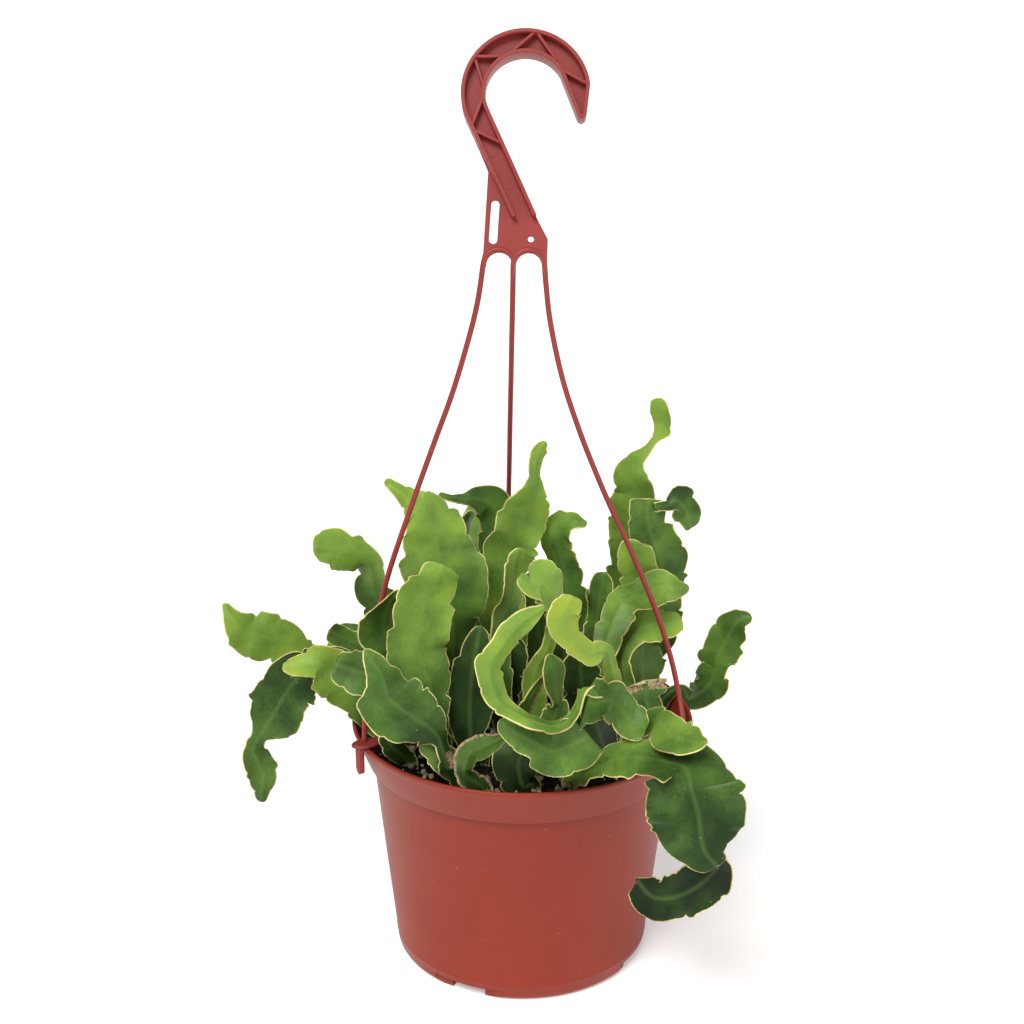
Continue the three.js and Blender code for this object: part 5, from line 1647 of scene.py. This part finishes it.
        (60.7, 30, 185, 11, 0.2, -0.1), (57.6, 28.5, 194, 9.1, 0.1, -0.1),
        (56.6, 27.5, 201.5, 8.9, 0.2, -0.1), (57.3, 27, 207.2, 8.8, 0.1, -0.1),
    )),
    Stem("stem_right_upper", (Tone.DARK, Tone.LEAF), stations=(
        (59.6, 26.5, 203.7, 1.8, 0.3, 0.3), (62.9, 27.5, 203.7, 2.1, 0.4, 0.3),
        (66.2, 29, 203.7, 2.4, 0.2, 0.4), (68.9, 29.5, 205.2, 4.3, -0.1, 0.6),
        (71.2, 29.5, 205.5, 7.4, 0, 0.6), (73.3, 28.5, 203.2, 6.7, 0.2, 0.5),
        (75.3, 27, 198.9, 6.3, 0.3, 0.5), (75.8, 25.5, 195.8, 4.4, 0.6, 0.2),
        (75.2, 25.5, 192.9, 2, 1.1, -0.2),
    )),
    Stem("stem_right_inner_bright", (Tone.LIGHT, Tone.LIGHT), root=(38, 20), stations=(
        (50, 23, 140, 6, 0, 0.3), (53.5, 22.5, 158.7, 7.3, -0.1, 0), (53.6, 22.5, 171, 8.5, -0.1, 0),
        (51.7, 22, 180.4, 8.3, -0.1, -0.1), (50.3, 21, 187.1, 6.2, -0.1, -0.2),
        (50.7, 20.5, 189.9, 2.5, -0.2, -0.2),
    )),
    Stem("stem_right_grey", (Tone.DARK, Tone.LEAF), root=(52, 13), stations=(
        (55, 13, 115, 5, 0, 0.3), (55.5, 11, 123.9, 7.9, 0.4, -0.1),
        (54.9, 11.5, 132.7, 12.3, 0.5, 0.1), (55.4, 13, 140.2, 10.3, 0.6, 0.2),
        (55.8, 14, 143.1, 4, 0.7, 0.3),
    )),
    Stem("stem_right_corky", (Tone.DARK, Tone.LEAF), root=(44, -34), stations=(
        (52, -48, 135, 6, 0, 0.3), (51.2, -51, 143.3, 6.2, 0.5, -0.2),
        (51.5, -51.5, 148.1, 9.7, 0.4, -0.1), (51.2, -51.5, 151.8, 11, 0.2, 0),
    ), scabs=(Scab(Side.LEFT, 0.93, 1.0, 9.0), Scab(Side.RIGHT, 0.93, 1.0, 9.0),)),
    Stem("stem_far_right", (Tone.DARK, Tone.LEAF), root=(64, 20), stations=(
        (70, 22, 114, 2.5, 0, 0.3), (75.3, 24, 115.4, 1.3, 0.3, 0.2), (78.8, 24, 110, 5.3, 0.1, 0.4),
        (84.8, 24.2, 113.3, 7.1, -0.4, 0.5), (89, 23.8, 118.4, 8.4, -0.5, 0.1),
        (89.7, 23, 123.3, 7.6, -0.6, -0.1), (90.8, 22, 126.3, 5.6, -0.9, -0.2),
        (90.5, 21, 131.5, 8.9, -0.5, 0), (93.9, 20, 140.2, 8.8, -0.4, 0.1),
        (96.9, 19, 147.9, 7.6, -0.4, 0.1), (100.5, 18.2, 152.4, 4.5, -0.3, 0.2),
        (105.4, 17, 153.4, 1.6, -0.3, 0.3),
    ), scabs=(Scab(Side.LEFT, 0.45, 0.49, 2.0),)),
    Stem("stem_right_arch", (Tone.LEAF, Tone.FRESH), root=(42, -44), stations=(
        (50, -54, 131, 6, 0, 1), (49.7, -60, 134.9, 6.2, -4, 2.7), (54.1, -70, 142.7, 6.1, -4, 4),
        (58.8, -83.5, 142.7, 8.4, -2, 3.2), (64.2, -89, 142.9, 8.4, -1.3, 3.3),
        (68.7, -93, 143.7, 4.7, -2.5, 4), (72.4, -95, 145.1, 1.2, -2.9, 4),
    ), scabs=(Scab(Side.RIGHT, 0.45, 0.72, 0.9),)),
    Stem("stem_trailing", (Tone.FRESH, Tone.DARK), root=(20, -57), stations=(
        (25, -67, 116, 5, 0, 0.8), (28.4, -72, 121, 3.3, -2.1, 0.8), (35.6, -79, 128.7, 6.5, -1.8, 1.1),
        (44.2, -86, 133.9, 9.7, -2.6, 4), (54.4, -91, 135.1, 13.1, -0.3, 4),
        (64, -95.5, 134.1, 15.4, 0.6, 2.5), (66.2, -102.5, 127.6, 19.4, 0.1, 0.6),
        (69, -105, 117.5, 19.4, 0, 0.2), (70, -106, 109.4, 16.1, 0, 0.1),
        (72.1, -106, 102.3, 9.8, 0, 0), (77, -105.5, 96, 4.7, 0.1, 0),
    ), scabs=(Scab(Side.RIGHT, 0.14, 0.2, 1.4),)),
    Stem("stem_front_folded", (Tone.DARK, Tone.LEAF), root=(-17, -63), stations=(
        (-24, -68, 116, 4, 0.2, 0.5), (-24.3, -71.5, 122.4, 4.5, 0.4, -0.4),
        (-22.1, -72, 128.3, 7, 0.6, -0.4), (-16.6, -70, 130.5, 6.7, 0.5, -0.5),
        (-11.3, -68.5, 132.8, 4.6, 0.5, -0.5), (-7.6, -67.5, 135.5, 1.3, 0.5, -0.3),
    ), scabs=(Scab(Side.LEFT, 0.35, 1.0, 0.7), Scab(Side.RIGHT, 0.15, 0.5, 0.8),)),
    Stem("stem_front_low_dark", (Tone.DEEP, Tone.DARK), root=(4, -60), stations=(
        (0, -61.5, 108.5, 7.4, -0.2, 0.1), (-2, -60, 116.2, 11.4, -0.2, 0.2),
        (-0.1, -58, 123.5, 9.5, -0.3, 0.5), (3.9, -56, 128.1, 6, -0.1, 0.6),
    )),
    Stem("stem_front_left_star", (Tone.DARK, Tone.LEAF), root=(-26, -58), stations=(
        (-31, -61, 118, 6, 0, 0.5), (-37, -62, 124, 5, 0, 0.5), (-43, -62, 127, 2, 0, 0.3),
    )),
    Stem("stem_inner_left", (Tone.DEEP, Tone.DARK), root=(-12, -2), stations=(
        (-10, -10, 129, 9, 0, 0.3), (-8, -12, 149, 10, -0.3, 0.3), (-5, -12, 164, 3, 0, 0.3),
    )),
    Stem("stem_inner_front", (Tone.LEAF, Tone.LEAF), root=(8, -30), stations=(
        (-0.8, -39, 127, 4.4, 0.8, -0.4), (2.9, -41, 139.2, 4, 1.1, -0.6),
        (7.3, -42, 147.6, 2.8, 0.9, -0.6), (9.9, -41.5, 150.6, 1.2, 0.6, -0.4),
    ), scabs=(Scab(Side.RIGHT, 0.0, 1.0, 1.3),)),
    Stem("stem_inner_right", (Tone.DEEP, Tone.DARK), root=(34, -22), stations=(
        (27, -28, 133, 8, 0, 0.3), (25, -28, 147, 9, 0.2, 0.3), (27, -26, 155, 3, 0, 0.3),
    )),
    Stem("stem_inner_back", (Tone.DARK, Tone.LEAF), root=(26, 8), stations=(
        (33, 14, 146, 5, 0, 0.3), (35, 13, 162, 5.5, -0.2, 0.3), (36, 13, 173, 4.5, 0, 0.3),
        (37, 13, 177, 2, 0, 0.3),
    )),
    Stem("stem_back_far_left", (Tone.DARK, Tone.LEAF), root=(-54, 32), stations=(
        (-64, 38, 122, 6, 0.6, 0.3), (-75, 44, 130, 8, 0.8, 0.8), (-84, 49, 129, 8, 0.8, 0.9),
        (-91, 53, 121, 6, -0.6, 0.6), (-94, 55, 112, 2, -0.6, 0.4),
    )),
    Stem("stem_back_left", (Tone.DARK, Tone.LEAF), root=(-36, 44), stations=(
        (-42, 50, 122, 7, 0.6, 0.2), (-46, 55, 140, 10, 0.8, 0.2), (-47, 58, 155, 9, 0.2, 0),
        (-44, 60, 167, 6, -0.4, 0), (-41, 61, 174, 2, -0.4, 0),
    )),
    Stem("stem_back_centre_left", (Tone.LEAF, Tone.FRESH), root=(-20, 56), stations=(
        (-22, 62, 126, 8, 0, 0), (-26, 66, 148, 12, -0.5, -0.2), (-26, 70, 168, 13, -1, 0),
        (-22, 72, 184, 9, -1.5, 0.2), (-18, 72, 194, 2, -1, 0),
    )),
    Stem("stem_back_trailing", (Tone.LEAF, Tone.LEAF), root=(14, 58), stations=(
        (14, 64, 122, 8, 0, -0.4), (18, 74, 136, 12, 0, -1), (22, 86, 140, 14, 0.1, -3),
        (24, 98, 130, 13, 0.1, -0.7), (26, 104, 112, 11, 0.1, 0), (22, 106, 96, 9, -0.2, -0.2),
        (16, 104, 86, 2, 0, 0),
    )),
    Stem("stem_back_right", (Tone.DARK, Tone.LEAF), root=(30, 54), stations=(
        (34, 58, 126, 7, -0.4, 0), (38, 60, 140, 9, -0.6, 0.2), (40, 62, 151, 7, -0.6, 0),
        (41, 63, 159, 2, -0.4, 0),
    )),
    Stem("stem_back_far_right", (Tone.DARK, Tone.LEAF), root=(54, 36), stations=(
        (59, 44, 122, 6, -0.5, 0.3), (65, 48, 132, 8, -0.6, 0.5), (70, 52, 137, 7, -0.6, 0.5),
        (74, 55, 139, 2, -0.4, 0.4),
    )),
    Stem("stem_back_inner_right", (Tone.DARK, Tone.FRESH), root=(9, 37), stations=(
        (9, 42, 128, 8, -0.3, 0.2), (6, 45, 146, 11, -0.3, 0.2), (8, 47, 160, 8, -0.3, 0),
        (12, 48, 170, 2, -0.4, 0),
    )),
    Stem("stem_back_inner_left", (Tone.DARK, Tone.LEAF), root=(-26, 28), stations=(
        (-28, 34, 128, 8, 0.3, 0.2), (-34, 38, 150, 11, 0.7, 0.2), (-34, 42, 172, 12, 1.4, 0),
        (-28, 44, 188, 7, 1.6, 0.2), (-24, 44, 196, 2, 1, 0),
    )),
    Stem("stem_trailing", (Tone.DEEP, Tone.DEEP), stations=(
        (76.1, -104.5, 100.8, 3.5, -0.2, -0.6), (77.7, -100.5, 93.5, 6.3, -0.3, -0.4),
        (74.8, -99.5, 87.7, 10, -0.3, 0.1), (68.7, -99, 81.6, 9.6, -0.3, 0.2),
        (60.7, -97.5, 76.8, 8.8, -0.3, 0.3), (52.7, -96, 76.3, 8.7, -0.1, 0.2),
        (47.1, -95, 82.1, 4.9, -0.1, 0.2), (46.1, -94.5, 82.5, 2.1, -0.4, 0.4),
    )),
    Stem("stem_ring", (Tone.LEAF, Tone.LEAF), stations=(
        (25.7, -85, 143.1, 11.1, -0.1, 0), (21.8, -84.5, 139.9, 11.1, -0.3, 0),
        (18.3, -83, 137.5, 10.8, -0.3, 0.1), (11.5, -81.5, 134.3, 10.2, -0.2, 0.2),
        (5, -80.5, 137.3, 7.2, 0, 0.3), (-1.7, -79.5, 140.8, 6.2, 0, 0.2),
        (-7, -78.5, 144.3, 4.2, -0.1, 0.1), (-8.6, -78, 147.2, 1.2, -0.3, 0),
    )),
)


@dataclass(frozen=True)
class Run:
    """A stem's middle line, row by row from foot to tip, with the blade's half width and directions.

    Turning is how sharply the line bends towards the right, per millimetre. Narrowing falls from 1 on the
    blade to 0 at the end of its tip.
    """

    shares: np.ndarray
    length: float
    middle: np.ndarray
    across: np.ndarray
    facing: np.ndarray
    half: np.ndarray
    turning: np.ndarray
    narrowing: np.ndarray

    @property
    def travelled(self) -> np.ndarray:
        """How far along the stem each row lies."""
        return self.shares * self.length


@dataclass(frozen=True)
class Sheet:
    """The columns across a blade in each row, as shares of the margin's reach, below 0 on the left."""

    spread: np.ndarray
    reach: np.ndarray
    lift: np.ndarray

    @property
    def size(self) -> np.ndarray:
        """How near the margin each place is, from 0 on the midrib to 1."""
        return np.abs(self.spread)

    @property
    def aside(self) -> np.ndarray:
        """How far each place lies from the midrib, below 0 on the left."""
        return self.spread * self.reach


def ring_values(values: np.ndarray, brim: np.ndarray) -> np.ndarray:
    """Values at every vertex of a blade's rings, from those across its face and those on its brims."""
    return np.concatenate([values, brim, values[:, ::-1], brim], axis=1).ravel()


@dataclass(frozen=True)
class CurlyStems:
    """All the flat, waved and notched stems, each a thin blade with a midrib and lobed margins."""

    soil_top: float = 105.0
    root_depth: float = 6.0
    root_collar: float = 2.5
    root_half_width: float = 3.2
    root_top_half_width: float = 3.8

    row_step: float = 0.7
    least_rows: int = 24
    side_columns: int = 7
    tip_length: float = 2.2
    tip_rows: tuple[float, ...] = (0.28, 0.5, 0.7, 0.86, 0.95, 1.0)
    line_width: float = 0.6
    least_inner: float = 0.3

    margin_thickness: float = 0.6
    midrib_thickness: float = 2.3
    thinning: float = 1.3
    tip_thickness: float = 0.25
    brim: float = 0.16
    rib_height: float = 0.2
    rib_width: float = 0.9
    rib_full_width: float = 8.0
    cup_share: float = 0.1

    lobe_length: float = 22.0
    lobe_phases: int = 4
    least_lobes: int = 6
    lobe_drift: float = 0.12
    drift_length: float = 9.5
    drift_scatter: float = 1.3
    lobe_evenness: Point = (0.78, 0.4)
    lobe_scatter: Point = (2.4, 7.0)
    swell_end: float = 0.4
    swell_power: float = 1.7
    notch_wall: Point = (0.945, 0.995)
    notch_cut: float = 2.3
    notch_share: float = 0.21
    nick: Place = (0.5, 0.03, 0.45)
    tooth: Place = (0.9, 0.035, 0.32)
    tooth_end: float = 0.97
    ragged_share: float = 0.018
    ragged_pace: float = 0.8
    overhang: float = 0.3
    least_reach: float = 0.8
    least_tip_reach: float = 0.12
    tightest_turn: float = 0.9
    squeeze_power: int = 4
    turn_length: float = 6.0

    wave_length: float = 42.0
    wave_share: float = 0.15
    ripple_length: float = 18.06
    ripple_scatter: float = 2.1
    ripple_share: float = 0.045

    tone_run: Point = (0.15, 0.95)
    # Painted shade: a blade's tone is lowest on its midrib, where the cupped blade lies in shade, and rises
    # towards its margins
    painted_shade_rise: float = 0.05
    painted_midrib_shade: float = -0.03
    old_cork: float = 0.62
    old_run: Point = (6.0, 11.0)
    scab_fade: float = 0.02
    scab_depth: Point = (0.5, 1.5)

    def stations(self, stem: Stem) -> np.ndarray:
        """The stem's stations, with two below and at the soil's surface where it has a root.

        Args:
            stem: The stem.

        Returns:
            The stations, one row each.
        """
        if stem.root is None:
            return np.array(stem.stations, dtype=float)
        x, y = stem.root
        face_x, face_z = stem.stations[0][4:]
        foot = (x, y, self.soil_top - self.root_depth, self.root_half_width, face_x, face_z)
        collar = (x, y, self.soil_top + self.root_collar, self.root_top_half_width, face_x, face_z)
        return np.array([foot, collar, *stem.stations], dtype=float)

    def turn_window(self) -> np.ndarray:
        """The weights that smooth a stem's turning over a few millimetres."""
        weights = np.hanning(2 * round(self.turn_length / self.row_step) + 3)
        return weights / weights.sum()

    def run(self, stem: Stem) -> Run:
        """Follow a stem's middle line.

        Args:
            stem: The stem.

        Returns:
            The line and the blade's directions, row by row.
        """
        stations = self.stations(stem)
        _, length = places_along(stations[:, :3], np.zeros(1))
        tip_start = 1 - self.tip_length / length
        shares = np.linspace(0.0, tip_start, max(self.least_rows, round(length / self.row_step)))
        shares = np.concatenate([shares, tip_start + (1 - tip_start) * np.array(self.tip_rows)])
        where, _ = places_along(stations[:, :3], shares)
        middle, slope = spline(stations[:, :3], where)
        shape, _ = spline(stations[:, 3:], where)
        slope /= np.linalg.norm(slope, axis=1)[:, None]
        half, face_x, face_z = shape.T
        facing = np.stack([face_x, -np.ones(len(shares)), face_z], axis=1)
        across = np.cross(slope, facing)
        across /= np.linalg.norm(across, axis=1)[:, None]
        turning = (np.gradient(slope, shares * length, axis=0) * across).sum(axis=1)
        left_over = np.clip((length - shares * length) / self.tip_length, 0.0, 1.0)
        return Run(
            shares=shares,
            length=length,
            middle=middle,
            across=across,
            facing=np.cross(across, slope),
            half=half,
            turning=np.convolve(turning, self.turn_window(), "same"),
            narrowing=(1 - (1 - left_over) ** 3) ** (1 / 3),
        )

    def lobes(self, place: np.ndarray) -> np.ndarray:
        """How far a margin is cut back: 0 on a lobe, 1 in a notch, below 0 on the tooth before it.

        Args:
            place: Places along the margin, counted in lobes.

        Returns:
            The cut at each place.
        """
        share = place % 1.0
        even, swing = self.lobe_evenness
        each, first = self.lobe_scatter
        uneven = even + swing * np.sin(np.floor(place) * each + place[0] * first)
        swell = np.clip(1 - share / self.swell_end, 0, 1) ** self.swell_power
        wall = smooth_step(*self.notch_wall, share)
        nick, tooth = (
            height * np.exp(-(((share - middle) / width) ** 2))
            for middle, width, height in (self.nick, self.tooth)
        )
        cut = np.maximum(np.maximum(swell * (share < self.tooth[0]), wall), nick)
        return cut * uneven - tooth * (share < self.tooth_end)

    def margin(self, run: Run, number: int, side: Side) -> tuple[np.ndarray, np.ndarray]:
        """One margin of a blade.

        Args:
            run: The stem's middle line.
            number: The stem's place in the list, which sets where its lobes and waves begin.
            side: The margin's side.

        Returns:
            How far the margin reaches from the midrib, and how far it is lifted, row by row.
        """
        half, travelled = run.half, run.travelled
        phase = number % self.lobe_phases
        quarters = max(self.least_lobes, round(run.length / self.lobe_length * self.lobe_phases))
        lobe = travelled / run.length * quarters / self.lobe_phases + phase / self.lobe_phases
        lobe = lobe + (0.5 if side is Side.RIGHT else 0.0)
        drift = self.lobe_drift * np.sin(travelled / self.drift_length + number * self.drift_scatter)
        cut = np.minimum(self.notch_cut, self.notch_share * half) * self.lobes(lobe + drift * side.value)
        ragged = self.ragged_share * half * np.sin(travelled * self.ragged_pace + number + side.value)
        reach = np.maximum(half + self.overhang - cut + ragged, self.least_reach) * run.narrowing
        crowded = np.clip(side.value * run.turning, 0.0, None) * reach / self.tightest_turn
        reach = reach / (1 + crowded**self.squeeze_power) ** (1 / self.squeeze_power)
        wave = 2 * math.pi * travelled / self.wave_length + phase + side.value
        ripple = 2 * math.pi * travelled / self.ripple_length + self.ripple_scatter * number + side.value
        lift = self.wave_share * half * np.sin(wave) + self.ripple_share * half * np.sin(ripple)
        return np.maximum(reach, self.least_tip_reach), lift

    def sheet(self, run: Run, number: int) -> Sheet:
        """Lay a blade out between its two margins.

        Args:
            run: The stem's middle line.
            number: The stem's place in the list.

        Returns:
            The columns across the blade.
        """
        steps = np.linspace(0, 1, self.side_columns)[None]
        spreads, reaches, lifts = [], [], []
        for side in Side:
            reach, lift = (line[:, None] for line in self.margin(run, number, side))
            inner = np.clip(1 - self.line_width / reach, self.least_inner, 1.0)
            spread = np.hstack([steps * inner, np.ones_like(reach)]) * side.value
            columns = slice(None, 0, -1) if side is Side.LEFT else slice(None)
            spreads.append(spread[:, columns])
            reaches.append(np.repeat(reach, spreads[-1].shape[1], axis=1))
            lifts.append(np.repeat(lift, spreads[-1].shape[1], axis=1))
        return Sheet(np.hstack(spreads), np.hstack(reaches), np.hstack(lifts))

    def rings(self, run: Run, sheet: Sheet) -> np.ndarray:
        """The blade's rings: its front from left to right, then its back, with a brim at each side.

        Args:
            run: The stem's middle line.
            sheet: The columns across the blade.

        Returns:
            The vertices by ring and place in the ring.
        """
        size, aside = sheet.size, sheet.aside
        tip = np.clip(run.narrowing, self.tip_thickness, 1)[:, None]
        bend = sheet.lift * size**2 - self.cup_share * run.half[:, None] * (1 - size**2)
        thicker = (self.midrib_thickness - self.margin_thickness) * (1 - size) ** self.thinning
        thickness = (self.margin_thickness + thicker) * tip
        rib = self.rib_height * np.exp(-((aside / self.rib_width) ** 2))
        rib = rib * np.clip(run.half / self.rib_full_width, 0, 1)[:, None]
        surface = run.middle[:, None] + run.across[:, None] * aside[..., None]
        front = surface + run.facing[:, None] * (bend + thickness / 2 + rib)[..., None]
        back = surface + run.facing[:, None] * (bend - thickness / 2 - rib)[..., None]
        right, left = (
            (front[:, column] + back[:, column]) / 2 + run.across * side.value * self.brim * tip
            for side, column in ((Side.RIGHT, -1), (Side.LEFT, 0))
        )
        return np.concatenate([front, right[:, None], back[:, ::-1], left[:, None]], axis=1)

    def skin_values(self, stem: Stem, run: Run, sheet: Sheet) -> dict[str, np.ndarray]:
        """The values that the skin reads at each vertex.

        Args:
            stem: The stem.
            run: Its middle line.
            sheet: The columns across its blade.

        Returns:
            The tone, the distances from margin and midrib, and the cork.
        """
        size, shares = sheet.size, run.shares
        first, last = (tone.value for tone in stem.tones)
        tone = (first + (last - first) * smooth_step(*self.tone_run, shares))[:, None]
        # Paint shade into the tone: darker on the midrib of the cupped blade, lighter towards the margins
        tone = tone + self.painted_shade_rise * size + self.painted_midrib_shade
        cork = np.zeros_like(size)
        if stem.root is not None:
            cork += self.old_cork * (1 - smooth_step(*self.old_run, run.travelled))[:, None]
        from_margin = (1 - size) * sheet.reach
        for scab in stem.scabs:
            on_side = sheet.spread * scab.side.value > 0
            begun, ended = (
                smooth_step(where - self.scab_fade, where + self.scab_fade, shares)
                for where in (scab.start, scab.end)
            )
            least, most = (scab.deep * share for share in self.scab_depth)
            near = 1 - smooth_step(least, most, from_margin)
            cork = np.maximum(cork, (begun * (1 - ended))[:, None] * near * on_side)
        return {
            "tone": ring_values(tone, tone[:, :1]),
            "rim": ring_values(from_margin, np.zeros_like(size[:, :1])),
            "rib": ring_values(np.abs(sheet.aside), sheet.reach[:, :1]),
            "cork": ring_values(cork, cork[:, :1]),
        }

    def add_blade(self, form: Form, stem: Stem, number: int) -> None:
        """Add one stem's closed blade to a form.

        Args:
            form: The form of the stem's node.
            stem: The stem.
            number: Its place in the list.
        """
        run = self.run(stem)
        sheet = self.sheet(run, number)
        rings = self.rings(run, sheet)
        rows, around = rings.shape[:2]
        faces = [tuple(reversed(face)) for face in ring_faces(rows, around)]
        faces.append(tuple(range(around)))
        faces.append(tuple(reversed(range((rows - 1) * around, rows * around))))
        form.add(rings.reshape(-1, 3), faces, **self.skin_values(stem, run, sheet))

    def make(self) -> list[bpy.types.Object]:
        """Make every stem, one piece for each CAD node.

        Returns:
            The pieces.
        """
        forms: dict[str, Form] = {}
        for number, stem in enumerate(STEMS):
            self.add_blade(forms.setdefault(stem.node, Form()), stem, number)
        skin = WaxySkin()
        return [
            form.to_piece(node.replace("stem_", "blade_"), skin, "stem_green", [node])
            for node, form in forms.items()
        ]


@dataclass(frozen=True)
class SoftLight:
    """A broad light by its direction from the object: its turn from front to right, and its height."""

    turn: float
    height: float
    strength: float
    spread: float


@dataclass(frozen=True)
class Studio:
    """A pale floor, a white sky, two soft lights and the camera at the photograph's place.

    The key light comes from the upper front left and the weaker side light from the low right. The sky
    lights the object less than the camera sees it.
    """

    camera_place: Place = (-5.1, -668.3, 424.3)
    looks_down: float = 17.81
    roll: float = 0.0039
    lens: float = 56.25
    sensor_width: float = 36.0
    far_clip: float = 200.0
    floor_size: float = 60.0
    floor_colour: str = "#f4f4f2"
    floor_roughness: float = 0.9
    floor_specular: float = 0.1
    floor_glow: float = 0.3
    sky_strength: float = 0.36
    sky_seen: float = 1.05
    key: SoftLight = SoftLight(turn=-28.0, height=52.0, strength=3.0, spread=32.0)
    side: SoftLight = SoftLight(turn=58.0, height=14.0, strength=0.8, spread=40.0)

    def sun(self, name: str, light: SoftLight) -> None:
        """Add a broad soft light.

        Args:
            name: The lamp's name.
            light: Where it comes from and how bright it is.
        """
        data = bpy.data.lights.new(name, "SUN")
        data.energy = light.strength
        data.angle = math.radians(light.spread)
        turn, height = math.radians(light.turn), math.radians(light.height)
        level = math.cos(height)
        towards = Vector((math.sin(turn) * level, -math.cos(turn) * level, math.sin(height)))
        lamp = show(name, data)
        lamp.rotation_euler = towards.to_track_quat("Z", "Y").to_euler()
        lamp.location = towards

    def floor(self) -> None:
        """Lay the pale floor."""
        half = self.floor_size / 2
        mesh = bpy.data.meshes.new("floor")
        corners = [(-half, -half, 0), (half, -half, 0), (half, half, 0), (-half, half, 0)]
        mesh.from_pydata(corners, [], [(0, 1, 2, 3)])
        material = bpy.data.materials.new("white_paper")
        material.use_nodes = True
        shader = material.node_tree.nodes["Principled BSDF"]
        shader.inputs["Base Color"].default_value = linear(self.floor_colour)
        shader.inputs["Roughness"].default_value = self.floor_roughness
        shader.inputs["Specular IOR Level"].default_value = self.floor_specular
        shader.inputs["Emission Color"].default_value = (1.0, 1.0, 1.0, 1.0)
        shader.inputs["Emission Strength"].default_value = self.floor_glow
        mesh.materials.append(material)
        show("floor", mesh)

    def make(self) -> None:
        """Make the floor, the lights and the camera."""
        scene = bpy.context.scene
        self.floor()
        world = bpy.data.worlds.new("white_sky")
        world.use_nodes = True
        background = world.node_tree.nodes["Background"]
        background.inputs["Color"].default_value = (1.0, 1.0, 1.0, 1.0)
        seen = add_node(world.node_tree, "ShaderNodeLightPath").outputs["Is Camera Ray"]
        strength = add_node(
            world.node_tree, "ShaderNodeMapRange",
            {"To Min": self.sky_strength, "To Max": self.sky_seen}, {"Value": seen},
        )
        world.node_tree.links.new(strength.outputs["Result"], background.inputs["Strength"])
        scene.world = world
        self.sun("key_light", self.key)
        self.sun("side_light", self.side)
        scene.view_settings.view_transform = "Standard"
        data = bpy.data.cameras.new("photo_camera")
        data.lens = self.lens
        data.sensor_width = self.sensor_width
        data.clip_end = self.far_clip
        camera = show("photo_camera", data)
        tilt = Matrix.Rotation(math.radians(90 - self.looks_down), 4, "X")
        place = Matrix.Translation(Vector(self.camera_place) * MM)
        camera.matrix_world = place @ tilt @ Matrix.Rotation(self.roll, 4, "Z")
        scene.camera = camera


def main() -> None:
    """Load the CAD frame, dress it piece by piece and set up the studio."""
    logging.basicConfig(level=logging.INFO, format="%(name)s: %(message)s")
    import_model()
    pot = HangingPot()
    pot.make()
    PottingMix(pot).make()
    Hanger(pot).make()
    CurlyStems().make()
    Studio().make()
    LOG.info("all pieces made")


if __name__ == "__main__":
    main()
